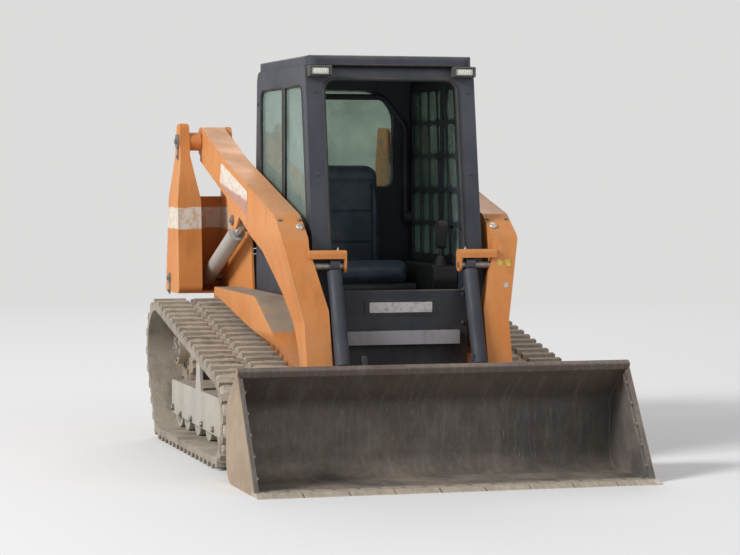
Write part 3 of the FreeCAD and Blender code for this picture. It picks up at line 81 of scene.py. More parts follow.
# Places that the finishes and the pieces share
BAND_Z = (1.165, 1.290)  # the white band across each tower
TREAD_Z = (0.618, 0.694)  # the pale tread on the front panel
TREAD_X = 0.677
FENDER_END_X = 0.520  # where the dust on the fenders stops
BUCKET_SIDE_Y = 0.9875
PANE_Z = (1.040, 1.935)
PATCH_RED_Z = (1.290, 1.276)  # where an arm's patch turns red, at X = 0
ARM_SLOPE = 0.2436  # how the arms' beams fall towards the front
ARM_Y = 0.620
TUB_Y = 0.470

MIX_SOCKETS = (0, 6, 7)  # a colour Mix node's share, first and second colour
MIX_RESULT = 2


def toned(colour, factor, lift=0.0):
    """A colour made darker or lighter."""
    return tuple(min(1.0, channel * factor + lift) for channel in colour)


class Graph:
    """Short calls that add nodes to an empty tree; a value is a constant or another node's socket."""

    def __init__(self, tree):
        self.tree = tree
        tree.nodes.clear()

    def add(self, kind, settings=None, **inputs):
        node = self.tree.nodes.new("ShaderNode" + kind)
        for key, value in (settings or {}).items():
            setattr(node, key, value)
        for key, value in inputs.items():
            self.put(node.inputs[key.replace("_", " ")], value)
        return node

    def put(self, socket, value):
        if isinstance(value, bpy.types.NodeSocket):
            self.tree.links.new(value, socket)
        elif isinstance(value, tuple) and len(value) == 3 and socket.type == "RGBA":
            socket.default_value = (*value, 1.0)
        else:
            socket.default_value = value

    def maths(self, operation, a, b=0.0, clamp=False):
        node = self.add("Math", {"operation": operation, "use_clamp": clamp})
        self.put(node.inputs[0], a)
        self.put(node.inputs[1], b)
        return node.outputs[0]

    def times(self, *values):
        return functools.reduce(lambda a, b: self.maths("MULTIPLY", a, b), values)

    def plus(self, *values):
        return functools.reduce(lambda a, b: self.maths("ADD", a, b), values)

    def most(self, a, b):
        return self.maths("MAXIMUM", a, b)

    def span(self, value, low, high, start=0.0, end=1.0):
        """A value's place between low and high, as start to end."""
        node = self.add("MapRange", {"clamp": True}, Value=value)
        for key, number in (("From Min", low), ("From Max", high), ("To Min", start), ("To Max", end)):
            node.inputs[key].default_value = number
        return node.outputs[0]

    def mix(self, share, a, b):
        node = self.add("Mix", {"data_type": "RGBA"})
        for index, value in zip(MIX_SOCKETS, (share, a, b)):
            self.put(node.inputs[index], value)
        return node.outputs[MIX_RESULT]

    def blended(self, share, shader_a, shader_b):
        node = self.add("MixShader", Fac=share)
        self.put(node.inputs[1], shader_a)
        self.put(node.inputs[2], shader_b)
        return node.outputs[0]

    def part(self, vector, axis):
        return self.add("SeparateXYZ", Vector=vector).outputs["XYZ".index(axis)]

    def bump(self, height, strength, distance):
        return self.add("Bump", Height=height, Strength=strength, Distance=distance).outputs[0]

    def seen(self):
        """1 for rays from the camera, a reflection or glass, so that the backdrop lights nothing."""
        path = self.add("LightPath")
        through = self.most(path.outputs["Is Glossy Ray"], path.outputs["Is Transmission Ray"])
        return self.most(path.outputs["Is Camera Ray"], through)


class Surface(Graph):
    """A new material's nodes, with its own coordinates and a shader to finish."""

    def __init__(self, name):
        self.material = bpy.data.materials.new(name)
        self.material.use_nodes = True
        super().__init__(self.material.node_tree)
        self.shader = self.add("BsdfPrincipled")
        self.output = self.add("OutputMaterial", Surface=self.shader.outputs[0])
        self.place = self.add("TexCoord").outputs["Object"]
        self.geometry = self.add("NewGeometry")

    def stretched(self, x, y, z):
        return self.add("Mapping", Vector=self.place, Scale=(x, y, z)).outputs[0]

    def noise(self, scale, detail=3.0, rough=0.55, vector=None):
        node = self.add("TexNoise", Vector=vector or self.place, Scale=scale, Detail=detail, Roughness=rough)
        return node.outputs[0]

    def cells(self, scale, feature="DISTANCE_TO_EDGE"):
        """The distance to the edges or centres of small cells, for cracks and grain."""
        return self.add("TexVoronoi", {"feature": feature}, Vector=self.place, Scale=scale).outputs["Distance"]

    def facing_up(self):
        return self.part(self.geometry.outputs["Normal"], "Z")

    def between(self, value, low, high, soft=0.004):
        """1 between low and high, with soft borders."""
        return self.times(self.span(value, low, low + soft), self.span(value, high, high - soft))

    def ragged(self, axis, scale=14.0, amount=0.02):
        """A coordinate with its value shaken, for borders that are worn."""
        shake = self.times(self.maths("SUBTRACT", self.noise(scale), 0.5), amount)
        return self.plus(self.part(self.place, axis), shake)

    def edge_wear(self, radius, low=0.02, high=0.22):
        """Near an edge, where the rounded normal leaves the flat one; broken up by noise."""
        bevel = self.add("Bevel", {"samples": 4}, Radius=radius)
        dot = self.add("VectorMath", {"operation": "DOT_PRODUCT"})
        self.put(dot.inputs[0], bevel.outputs[0])
        self.put(dot.inputs[1], self.geometry.outputs["Normal"])
        edge = self.maths("SUBTRACT", 1.0, dot.outputs["Value"])
        return self.times(self.span(edge, low, high), self.span(self.noise(23.0), 0.42, 0.60))

    def finish(self, colour, rough, normal=None, metallic=0.0, **others):
        self.put(self.shader.inputs["Base Color"], colour)
        self.put(self.shader.inputs["Roughness"], rough)
        self.put(self.shader.inputs["Metallic"], metallic)
        for key, value in others.items():
            self.put(self.shader.inputs[key.replace("_", " ")], value)
        if normal is not None:
            self.put(self.shader.inputs["Normal"], normal)
        return self.material


def dust_share(g, amount, ground):
    """Dust lies on upward faces and thickens towards the ground."""
    height = g.part(g.place, "Z")
    low = g.span(height, ground, 0.15)
    flat = g.span(g.facing_up(), 0.2, 0.95)
    cloud = g.span(g.noise(2.6, 5.0, 0.62), 0.36, 0.66)
    fine = g.span(g.noise(38.0, 3.0), 0.35, 0.75, 0.55, 1.0)
    both = g.plus(g.times(flat, 0.75), g.times(low, 0.65), 0.12)
    return g.maths("MULTIPLY", g.times(both, cloud, fine), amount, clamp=True)


def dusted(g, colour, amount, ground):
    """A colour under dust, and the dust's share."""
    share = dust_share(g, amount, ground)
    return g.mix(share, colour, DUST), share


def tower_band(g, colour):
    """The white band across a tower, worn at its borders."""
    within = g.between(g.ragged("Z"), *BAND_Z)
    scuffed = g.span(g.noise(26.0, 5.0, 0.7), 0.62, 0.50, 0.45, 0.95)
    return g.mix(g.times(within, scuffed), colour, BAND_WHITE)


def fender_dust(g, colour):
    """Grey trodden dust along each fender's top, short of its orange front end."""
    outside = g.span(g.maths("ABSOLUTE", g.part(g.place, "Y")), TUB_Y + 0.006, TUB_Y + 0.012)
    behind = g.span(g.ragged("X", 9.0, 0.05), FENDER_END_X, FENDER_END_X - 0.030)
    up = g.span(g.facing_up(), 0.15, 0.45)
    cover = g.span(g.noise(12.0, 5.0, 0.7), 0.30, 0.48, 0.72, 1.0)
    grey = g.mix(g.span(g.noise(7.0, 4.0), 0.35, 0.65), TOP_DUST, DUST)
    return g.mix(g.times(outside, behind, up, cover), colour, grey)


def pale_tread(g, colour):
    """The front panel's tread, worn pale."""
    within = g.between(g.part(g.place, "Z"), *TREAD_Z)
    proud = g.span(g.part(g.place, "X"), TREAD_X - 0.0005, TREAD_X + 0.0005)
    return g.mix(g.times(within, proud, 0.9), colour, PALE_TREAD)


def painted(name, base, faded, dust, rust, rough=0.50, ground=0.9, marks=None):
    """Old machine paint: faded in patches, chipped and rusty at edges, scratched, dusty."""
    g = Surface(name)
    patches = g.span(g.noise(1.7, 4.0, 0.6), 0.35, 0.70)
    streaks = g.span(g.noise(4.0, 3.0, vector=g.stretched(6.0, 6.0, 0.8)), 0.45, 0.75, 0.0, 0.55)
    colour = g.mix(g.most(patches, streaks), base, faded)
    if marks:
        colour = marks(g, colour)
    scratches = g.span(g.noise(30.0, 2.0, vector=g.stretched(9.0, 9.0, 0.6)), 0.70, 0.74)
    bare = g.most(g.edge_wear(0.005), g.times(scratches, rust, 0.6))
    chips = g.span(g.noise(11.0, 6.0, 0.72), 0.66, 0.70)
    rusty = g.maths("MULTIPLY", g.most(bare, chips), rust, clamp=True)
    colour = g.mix(rusty, colour, g.mix(g.span(g.noise(60.0), 0.4, 0.6), RUST, BARE_STEEL))
    grime = g.times(g.span(g.noise(5.0, 5.0, 0.65, g.stretched(2.0, 2.0, 0.5)), 0.50, 0.72), 0.30)
    colour = g.mix(grime, colour, toned(base, 0.35))
    colour, dusty = dusted(g, colour, dust, ground)
    shine = g.span(g.noise(6.0, 4.0), 0.3, 0.7, rough - 0.06, rough + 0.12)
    shine = g.maths("ADD", shine, g.times(dusty, 0.4), clamp=True)
    height = g.plus(g.times(g.noise(240.0, 2.0), 0.25), g.times(rusty, -0.5), g.times(dusty, 0.35),
                    g.times(g.noise(3.0, 2.0), 1.5))
    return g.finish(colour, shine, g.bump(height, 0.25, 0.0015), Specular_IOR_Level=0.35)


def bucket_steel(name):
    """The bucket: dark polished earth inside, made darker still by painted shade, with some rust under its
    lip, and dusty tan outside.
    """
    g = Surface(name)
    side = g.span(g.maths("ABSOLUTE", g.part(g.place, "Y")), BUCKET_SIDE_Y - 0.001, BUCKET_SIDE_Y + 0.001)
    back = g.span(g.part(g.geometry.outputs["Normal"], "X"), -0.25, -0.5)
    outside = g.most(side, back)
    runs = g.span(g.noise(3.4, 5.0, 0.65, g.stretched(1.0, 5.0, 0.7)), 0.40, 0.70)
    upper = g.span(g.ragged("Z", 8.0, 0.10), 0.36, 0.52)
    rusted = g.plus(g.times(runs, 0.14), g.times(upper, 0.18))
    # The inside's dark earth colour is partly painted shade
    inside_earth_and_painted_shade = g.mix(rusted, EARTH_WITH_PAINTED_SHADE, RUST)
    swept = g.span(g.noise(5.0, 4.0, 0.6, g.stretched(0.6, 7.0, 1.0)), 0.50, 0.72, 0.0, 0.8)
    inside_earth_and_painted_shade = g.mix(swept, inside_earth_and_painted_shade, SWEPT_EARTH)
    outside_colour = g.mix(g.span(g.noise(3.0, 5.0, 0.6), 0.35, 0.7), TAN, TAN_PALE)
    colour = g.mix(outside, inside_earth_and_painted_shade, outside_colour)
    scuffs = g.span(g.noise(22.0, 3.0, vector=g.stretched(1.0, 12.0, 1.0)), 0.64, 0.72)
    colour = g.mix(g.times(g.most(scuffs, g.edge_wear(0.008)), 0.7), colour, BARE_STEEL)
    colour = dusted(g, colour, 0.6, 0.5)[0]
    rough = g.span(g.noise(9.0, 4.0), 0.3, 0.7, 0.50, 0.84)
    height = g.plus(g.noise(34.0, 5.0, 0.6), g.times(g.noise(4.0, 2.0), 3.0))
    return g.finish(colour, rough, g.bump(height, 0.40, 0.005), metallic=0.15)


def bare_steel(name, colour_a, colour_b, rough, metallic, dust):
    """Unpainted steel, streaked in two colours, with some rust and dust."""
    g = Surface(name)
    streaks = g.span(g.noise(12.0, 4.0, 0.6, g.stretched(1.0, 9.0, 1.0)), 0.35, 0.68)
    colour = g.mix(streaks, colour_a, colour_b)
    rusty = g.span(g.noise(8.0, 6.0, 0.7), 0.60, 0.74, 0.0, 0.6)
    colour = g.mix(rusty, colour, RUST)
    colour, dusty = dusted(g, colour, dust, 0.4)
    shine = g.span(g.noise(15.0, 4.0), 0.3, 0.7, rough - 0.1, rough + 0.15)
    shine = g.maths("ADD", shine, g.plus(g.times(rusty, 0.3), g.times(dusty, 0.4)), clamp=True)
    return g.finish(colour, shine, g.bump(g.noise(60.0, 4.0), 0.2, 0.002), metallic=metallic)


def chrome(name):
    """A rod's chrome under a film of dust."""
    g = Surface(name)
    film = g.times(g.span(g.noise(9.0, 4.0), 0.4, 0.7), 0.35)
    colour = g.mix(film, CHROME, DUST)
    shine = g.plus(g.times(film, 0.5), 0.10)
    return g.finish(colour, shine, g.bump(g.noise(300.0), 0.04, 0.0005), metallic=0.9)


def track_rubber(name):
    """The belt: dark rubber packed with pale dust, worn dark on the lugs' crests."""
    g = Surface(name)
    cake = g.span(g.noise(5.5, 6.0, 0.68), 0.28, 0.52, 0.45, 1.0)
    grit = g.span(g.noise(120.0, 3.0), 0.3, 0.7, 0.75, 1.0)
    up = g.span(g.facing_up(), -0.4, 0.6, 0.62, 1.0)
    worn = g.times(g.edge_wear(0.008, 0.03, 0.20), 0.45)
    dusty = g.maths("MULTIPLY", g.times(cake, grit, up), 0.95, clamp=True)
    dusty = g.maths("SUBTRACT", dusty, worn, clamp=True)
    earth = g.mix(g.span(g.noise(2.2, 4.0), 0.35, 0.65), DRY_EARTH, DRY_EARTH_PALE)
    colour = g.mix(dusty, RUBBER, earth)
    rough = g.span(dusty, 0.0, 1.0, 0.62, 0.95)
    height = g.plus(g.times(g.noise(90.0, 4.0), 0.6), g.times(g.noise(16.0, 5.0, 0.65), 1.2))
    return g.finish(colour, rough, g.bump(height, 0.5, 0.004), Specular_IOR_Level=0.3)


def caked_earth(name):
    """Dried earth packed between the lugs, cracked and uneven."""
    g = Surface(name)
    clods = g.span(g.noise(9.0, 6.0, 0.7), 0.34, 0.66)
    colour = g.mix(clods, CLOD, CLOD_PALE)
    cracks = g.cells(34.0)
    colour = g.mix(g.span(cracks, 0.05, 0.0, 0.0, 0.5), colour, CRACK)
    height = g.plus(g.span(cracks, 0.0, 0.06), g.noise(60.0, 5.0, 0.7))
    rough = g.span(clods, 0.0, 1.0, 0.86, 0.97)
    return g.finish(colour, rough, g.bump(height, 0.4, 0.003), Specular_IOR_Level=0.2)


def moulded(name, base, rough=0.55, dust=0.35):
    """Moulded plastic or rubber with a fine grain and a little dust."""
    g = Surface(name)
    colour = g.mix(g.span(g.noise(5.0, 3.0), 0.35, 0.7), base, toned(base, 1.7, 0.004))
    colour, dusty = dusted(g, colour, dust, 0.5)
    shine = g.span(g.noise(8.0), 0.3, 0.7, rough - 0.08, rough + 0.1)
    shine = g.maths("ADD", shine, g.times(dusty, 0.3), clamp=True)
    return g.finish(colour, shine, g.bump(g.cells(420.0, "F1"), 0.18, 0.0006))


def seat_vinyl(name):
    """Leather-grained vinyl, navy, shiny where it is sat on."""
    g = Surface(name)
    worn = g.span(g.noise(4.5, 4.0, 0.6), 0.38, 0.68)
    colour = g.mix(worn, NAVY, NAVY_WORN)
    dusty = g.times(g.span(g.facing_up(), 0.3, 1.0), g.span(g.noise(7.0, 5.0), 0.4, 0.75), 0.35)
    colour = g.mix(dusty, colour, SEAT_DUST)
    height = g.plus(g.span(g.cells(260.0), 0.0, 0.12, 0.0, 0.6), g.times(g.noise(26.0, 6.0, 0.6), 0.6))
    rough = g.plus(g.span(worn, 0.0, 1.0, 0.55, 0.38), g.times(dusty, 0.4))
    return g.finish(colour, rough, g.bump(height, 0.25, 0.0012), Sheen_Weight=0.1)


def tinted_glass(name, tint):
    """Sage safety glass under a film of dust that is thicker towards its foot."""
    g = Surface(name)
    foot = g.span(g.part(g.place, "Z"), 1.70, 1.04, 0.0, 0.16)
    film = g.plus(g.span(g.noise(3.2, 5.0, 0.65), 0.35, 0.75, 0.26, 0.52), foot)
    clear = g.add("BsdfTransparent", Color=tint).outputs[0]
    gloss = g.add("BsdfGlossy", Color=GLASS_GLOSS, Roughness=0.04).outputs[0]
    fresnel = g.add("Fresnel", IOR=1.5).outputs[0]
    pane = g.blended(g.maths("MULTIPLY", fresnel, 0.9), clear, gloss)
    sage = g.mix(g.noise(9.0), SAGE, toned(SAGE, 1.3))
    g.finish(sage, 0.85, g.bump(g.noise(60.0, 4.0), 0.05, 0.0005))
    g.put(g.output.inputs["Surface"], g.blended(film, pane, g.shader.outputs[0]))
    return g.material


def lens(name, tint):
    """A lamp's lens, with dust on it."""
    g = Surface(name)
    film = dust_share(g, 0.7, 0.3)
    flutes = g.span(g.noise(70.0, 2.0), 0.35, 0.65, 0.0, 0.35)
    colour = g.mix(film, g.mix(flutes, tint, toned(tint, 1.4, 0.03)), DUST)
    return g.finish(colour, g.plus(g.times(film, 0.5), 0.10), g.bump(flutes, 0.1, 0.0005), Coat_Weight=0.6)


def decal(name):
    """A blank sun-bleached patch along an arm, reddish at its lower and front end."""
    g = Surface(name)
    worn = g.span(g.noise(24.0, 5.0, 0.7), 0.50, 0.64)
    along = g.times(g.part(g.place, "X"), ARM_SLOPE - 0.10)
    level = g.plus(g.ragged("Z", 20.0, 0.02), along, -0.042)
    colour = g.mix(g.times(g.span(level, *PATCH_RED_Z), 0.75), BAND_WHITE, DECAL_RED)
    colour = g.mix(g.times(worn, 0.85), colour, ORANGE_FADED)
    return g.finish(colour, g.span(worn, 0.0, 1.0, 0.45, 0.65), g.bump(worn, 0.2, 0.0006))


def label(name, colour):
    """A small blank plate, scuffed."""
    g = Surface(name)
    scuffed = g.span(g.noise(45.0, 5.0, 0.7), 0.50, 0.66, 0.0, 0.7)
    shade = dusted(g, g.mix(scuffed, colour, toned(colour, 0.35)), 0.6, 1.4)[0]
    return g.finish(shade, g.span(scuffed, 0.0, 1.0, 0.35, 0.6), g.bump(scuffed, 0.15, 0.0005))


# The record's slots and the finishes of pieces that are only here: colours, then for paint its dust, rust,
# roughness and the height that dust rises to, and for steel roughness, metal and dust
FINISHES = {
    "orange_paint": (painted, ORANGE, ORANGE_FADED, 0.6, 0.50),
    "tub_paint": (painted, ORANGE, ORANGE_FADED, 0.6, 0.50, 0.50, 0.9, fender_dust),
    "tower_paint": (painted, ORANGE, ORANGE_FADED, 0.5, 0.45, 0.50, 0.9, tower_band),
    "dark_paint": (painted, (0.030, 0.034, 0.047), (0.058, 0.064, 0.079), 0.30, 0.25, 0.55),
    # The front panel: the cab's dark paint made darker still as painted shade, with its pale worn tread
    "panel_paint": (painted, (0.014, 0.018, 0.028), (0.034, 0.037, 0.048), 0.30, 0.25, 0.55, 0.9, pale_tread),
    "worn_steel": (bucket_steel,),
    "tan_steel": (painted, (0.17, 0.125, 0.085), DUST, 1.2, 0.6, 0.7),
    "bright_edge": (bare_steel, (0.62, 0.54, 0.43), (0.42, 0.36, 0.29), 0.48, 0.45, 0.25),
    "pins": (bare_steel, (0.20, 0.18, 0.16), (0.32, 0.29, 0.26), 0.45, 0.7, 0.5),
    "bright_pin": (bare_steel, (0.62, 0.57, 0.50), (0.46, 0.42, 0.37), 0.35, 0.5, 0.2),
    "chrome": (chrome,),
    "grey_paint": (painted, (0.42, 0.40, 0.365), (0.48, 0.45, 0.40), 1.3, 0.55, 0.60, 1.2),
    "track_rubber": (track_rubber,),
    "caked_earth": (caked_earth,),
    "plastic": (moulded, (0.022, 0.022, 0.024)),
    "seat_vinyl": (seat_vinyl,),
    "tinted_glass": (tinted_glass, (0.66, 0.76, 0.68)),
    "lamp": (moulded, (0.040, 0.040, 0.044), 0.55, 0.6),
    "lamp_lens": (lens, (0.66, 0.66, 0.60)),
    "tail_lamp": (lens, (0.36, 0.020, 0.014)),
    "engine_grey": (painted, (0.11, 0.11, 0.115), (0.19, 0.185, 0.18), 0.9, 0.5, 0.6),
    "gasket": (moulded, (0.016, 0.016, 0.017), 0.7, 0.5),
    "decal": (decal,),
    "label_white": (label, (0.50, 0.48, 0.47)),
    "label_yellow": (label, (0.62, 0.40, 0.05)),
}
materials = {name: make(name, *values) for name, (make, *values) in FINISHES.items()}

# CAD nodes whose paint has marks of its own; the front panel's paint is also darkened as painted shade
NODE_FINISH = {"tower_left": "tower_paint", "tower_right": "tower_paint", "tub": "tub_paint",
               "front_step": "panel_paint"}


def dress_nodes():
    """Each CAD node takes the finish of its slot in the record."""
    for row in frame["record"]["subparts"]:
        name = row["node"]
        if name not in frame["nodes"]:
            continue
        slots = frame["nodes"][name].data.materials
        finish = materials[NODE_FINISH.get(name, row["material_slot"])]
        if not slots:
            slots.append(finish)
        for i in range(len(slots)):
            slots[i] = finish


def linked(name, data):
    thing = bpy.data.objects.new(name, data)
    bpy.context.scene.collection.objects.link(thing)
    return thing


def new_piece(name, bm, finish, body, slot=None, smooth=True):
    """A mesh object from a bmesh, riding on a body; the slot argument is not used."""
    mesh = bpy.data.meshes.new(name)
    bmesh.ops.recalc_face_normals(bm, faces=bm.faces)
    bm.to_mesh(mesh)
    bm.free()
    for polygon in mesh.polygons:
        polygon.use_smooth = smooth
    piece = linked(name, mesh)
    mesh.materials.append(materials[finish])
    slot or finish
    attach(piece, body)


SIDES = (1, -1)
UP, FORWARD, BACKWARD = (0, 0, 1), (1, 0, 0), (-1, 0, 0)
SINK = 0.001  # how far turned pieces and welds start inside what carries them
ARC_STEPS = 8  # of each rounded corner
WASHER = [(1.35, 0.18), (1.15, 0.22)]  # (radius, height) in radii of the head
HEXAGON = [(1.0, 0.2), (1.0, 0.78), (0.86, 0.92), (0.4, 0.95)]
BEAD_SIDES = 8
RIPPLE = 0.24  # of a weld's bead
LENS_SKIRT = 0.003
LENS_RIPPLE = 0.0008
LENS_ROWS = 10
FLUTE_COLUMNS = 6


def mirrored(place, side):
    """A place on the machine's left, or its twin on the right for side -1."""
    x, y, z = place
    return Vector((x, side * y, z))


def skin(bm, loops, closed=False):
    """Quads from each loop of points to the next, round to the first if closed, else capped at both ends."""
    count = len(loops[0])
    following = loops[1:] + loops[:1] if closed else loops[1:]
    for low, high in zip(loops, following):
        for k in range(count):
            bm.faces.new((low[k], low[(k + 1) % count], high[(k + 1) % count], high[k]))
    if not closed:
        bm.faces.new(list(reversed(loops[0])))
        bm.faces.new(loops[-1])


def circle(radius, count, turn=0.0):
    angles = [turn + 2 * math.pi * k / count for k in range(count)]
    return [(radius * math.cos(a), radius * math.sin(a)) for a in angles]


def add_rings(bm, centre, axis, rings, sides, turn=0.0):
    """A turned form from (radius, height along the axis) rings, closed at both ends."""
    facing = Vector(UP).rotation_difference(Vector(axis)).to_matrix().to_4x4()
    place = Matrix.Translation(Vector(centre)) @ facing
    skin(bm, [[bm.verts.new(place @ Vector((x, y, height))) for x, y in circle(radius, sides, turn)]
              for radius, height in rings])


def add_bolt(bm, centre, axis, r, turn=0.3):
    """A washer and a chamfered hexagon head."""
    washer = [(r * WASHER[0][0], -SINK)] + [(r * radius, r * height) for radius, height in WASHER]
    add_rings(bm, centre, axis, washer, 16)
    add_rings(bm, centre, axis, [(r * radius, r * height) for radius, height in HEXAGON], 6, turn)


def add_tube(bm, points, radius, sides=10, wobble=0.0, closed=False):
    """A tube along points; wobble makes it swell and shrink like a weld's ripples."""
    loops = []
    count = len(points)
    for i, point in enumerate(points):
        ahead = points[(i + 1) % count] if closed else points[min(i + 1, count - 1)]
        behind = points[i - 1] if closed else points[max(i - 1, 0)]
        turn = (ahead - behind).normalized().to_track_quat("Z", "Y").to_matrix()
        r = radius * (1.0 + wobble * (0.5 if i % 2 else -0.5))
        loops.append([bm.verts.new(point + turn @ Vector((x, y, 0))) for x, y in circle(r, sides)])
    skin(bm, loops, closed)


def add_bolt_pairs(bm, rows):
    """Bolts on both sides: (x, y outwards, z, axis or None for sideways, head's radius)."""
    for side in SIDES:
        for x, y, z, axis, r in rows:
            add_bolt(bm, (x, side * y, z), axis or (0, side, 0), r)


def steps(path, pitch):
    """Points about a pitch apart along a path of straight runs."""
    points = [Vector(path[0])]
    for start, end in zip(path, path[1:]):
        start, end = Vector(start), Vector(end)
        count = max(1, round((end - start).length / pitch))
        points += [start.lerp(end, i / count) for i in range(1, count + 1)]
    return points


def add_weld(bm, path, bead=0.005):
    add_tube(bm, steps(path, bead), bead, BEAD_SIDES, RIPPLE)


def add_ring_weld(bm, centre, radius, bead=0.006):
    """A bead round a tube that runs along Y."""
    count = 2 * round(math.pi * radius / bead)
    ring = [centre + Vector((x, 0, z)) for x, z in circle(radius, count)]
    add_tube(bm, ring, bead, BEAD_SIDES, RIPPLE, closed=True)


def rounded(corners, arc_steps=ARC_STEPS):
    """A closed outline of (u, v, radius) corners as points, with arcs at its corners."""
    points = []
    count = len(corners)
    for i, (u, v, radius) in enumerate(corners):
        here = Vector((u, v))
        to_before = (Vector(corners[i - 1][:2]) - here).normalized()
        to_after = (Vector(corners[(i + 1) % count][:2]) - here).normalized()
        half = to_before.angle(to_after) / 2
        centre = here + (to_before + to_after).normalized() * radius / math.sin(half)
        start = here + to_before * radius / math.tan(half) - centre
        end = here + to_after * radius / math.tan(half) - centre
        turn = start.angle_signed(end)
        for k in range(arc_steps + 1):
            points.append(centre + Matrix.Rotation(-turn * k / arc_steps, 2) @ start)
    return points


def window(u0, u1, v0, v1, radii, arc_steps=ARC_STEPS):
    """A rounded rectangle's outline, from its low corner on, with a radius for each corner."""
    corners = ((u0, v0), (u1, v0), (u1, v1), (u0, v1))
    return rounded([(u, v, radius) for (u, v), radius in zip(corners, radii)], arc_steps)


def add_trim(bm, points, normal, section):
    """A closed strip along a flat outline; the section is (sideways, outwards) points."""
    loops = []
    for i, point in enumerate(points):
        ahead = (points[(i + 1) % len(points)] - points[i - 1]).normalized()
        side = ahead.cross(normal)
        loops.append([bm.verts.new(point + side * u + normal * v) for u, v in section])
    skin(bm, loops, closed=True)


def lip_section(width, low, high):
    """A rubber lip's section, from low to high outwards, with rounded shoulders."""
    half = width / 2
    shoulder = high - (high - low) * 0.35
    top = half * 0.6
    return [(-half, low), (-half, shoulder), (-top, high), (top, high), (half, shoulder), (half, low)]


def add_plate(bm, centre, normal, up, width, height, thick, corner):
    """A thin rounded plate, for a label or a keeper."""
    normal, up = Vector(normal).normalized(), Vector(up).normalized()
    across = up.cross(normal)
    w, h = width / 2, height / 2
    rim = window(-w, w, -h, h, (corner,) * 4, arc_steps=4)
    skin(bm, [[bm.verts.new(Vector(centre) + across * u + up * v + normal * out) for u, v in rim]
              for out in (0.0, thick)])


def add_lens(bm, centre, normal, width, height, crown, flutes):
    """A crowned lens with upright flutes, on a short skirt."""
    normal = Vector(normal).normalized()
    across = Vector((0, 1, 0))
    up = normal.cross(across)
    columns = flutes * FLUTE_COLUMNS
    grid = []
    for j in range(LENS_ROWS + 1):
        v = 2.0 * j / LENS_ROWS - 1.0
        fade = 1.0 - abs(v) ** 4
        row = []
        for i in range(columns + 1):
            u = 2.0 * i / columns - 1.0
            bulge = crown * (1.0 - abs(u) ** 4) * fade
            ripple = LENS_RIPPLE * (1.0 - math.cos(2 * math.pi * flutes * i / columns)) * fade
            spot = centre + across * (u * width / 2) + up * (v * height / 2)
            row.append(bm.verts.new(spot + normal * (LENS_SKIRT + bulge + ripple)))
        grid.append(row)
    for low, high in zip(grid, grid[1:]):
        for i in range(columns):
            bm.faces.new((low[i], low[i + 1], high[i + 1], high[i]))
    rim = grid[0][:-1] + [row[-1] for row in grid[:-1]] + grid[-1][:0:-1] + [row[0] for row in grid[:0:-1]]
    base = [bm.verts.new(vert.co - normal * LENS_SKIRT) for vert in rim]
    for k in range(len(rim)):
        bm.faces.new((base[k], base[(k + 1) % len(rim)], rim[(k + 1) % len(rim)], rim[k]))
    bm.faces.new(list(reversed(base)))


# Bolts on each side of the chassis: (x, y outwards, z, head's radius)
TRACK_FACE_Y = 0.850
CHASSIS_BOLTS = [(-0.930, TRACK_FACE_Y, 0.175, 0.017), (-0.260, TRACK_FACE_Y, 0.526, 0.013),
                 (-1.270, 0.762, 1.665, 0.013), (-1.400, 0.785, 0.880, 0.011)]
CHASSIS_BOLTS += [(x, TRACK_FACE_Y, 0.155, 0.015) for x in (-0.720, -0.440, -0.160, 0.120)]
CHASSIS_BOLTS += [(x, TRACK_FACE_Y, z, 0.008) for x in (0.497, 0.541) for z in (0.228, 0.272)]
SPROCKET = (-1.000, 0.500)  # its centre's x and z
SPROCKET_BOLTS = [(0.066, 0.818, 8, 0.009), (0.105, 0.763, 12, 0.009)]  # radius, y, count, head
HUB_Y = 0.818
HUB_RINGS = [(0.046, -SINK), (0.045, 0.007), (0.036, 0.013), (0.014, 0.015), (0.013, 0.019), (0.010, 0.021)]
KEEPERS = [(-1.270, 0.750, 1.596), (-1.400, 0.775, 0.824)]  # plates beside the pins' heads
KEEPER_SIZE = (0.030, 0.074, 0.006)
KEEPER_BOLT_DROP = 0.018


def make_chassis_bolts():
    """Roller and pin bolts, the sprocket's two bolt circles and hub, and the pins' keepers."""
    bm = bmesh.new()
    for side in SIDES:
        axis = (0, side, 0)
        for x, y, z, r in CHASSIS_BOLTS:
            add_bolt(bm, (x, side * y, z), axis, r, turn=x * 7)
        for radius, y, count, r in SPROCKET_BOLTS:
            for x, z in circle(radius, count, 0.2):
                add_bolt(bm, (SPROCKET[0] + x, side * y, SPROCKET[1] + z), axis, r, turn=x * 40)
        add_rings(bm, (SPROCKET[0], side * HUB_Y, SPROCKET[1]), axis, HUB_RINGS, 40)
        for x, y, z in KEEPERS:
            add_plate(bm, (x, side * y, z), axis, UP, *KEEPER_SIZE, 0.008)
            add_bolt(bm, (x, side * (y + KEEPER_SIZE[2]), z - KEEPER_BOLT_DROP), axis, 0.009)
    new_piece("chassis_bolts", bm, "pins", "chassis", smooth=False)


KNEE_NORMAL = Vector((115, 0, 170)).normalized()  # of the slope on top of each knee
ARM_BOLTS = [(-0.430, 0.630, 1.230, None, 0.012), (0.945, 0.535, 0.170, None, 0.014),
             (0.560, 0.500, 1.2480, KNEE_NORMAL, 0.009), (0.560, 0.600, 1.2480, KNEE_NORMAL, 0.009)]
KNEE_HEAD = (0.612, 0.512, 1.2125)
KNEE_HEAD_RINGS = [(0.021, -2 * SINK), (0.021, 0.007), (0.017, 0.012), (0.008, 0.014)]
NIPPLE = (0.700, 0.335, 1.099)
NIPPLE_RINGS = [(0.006, -2 * SINK), (0.006, 0.004), (0.004, 0.005), (0.003, 0.009), (0.0045, 0.011),
                (0.003, 0.014)]


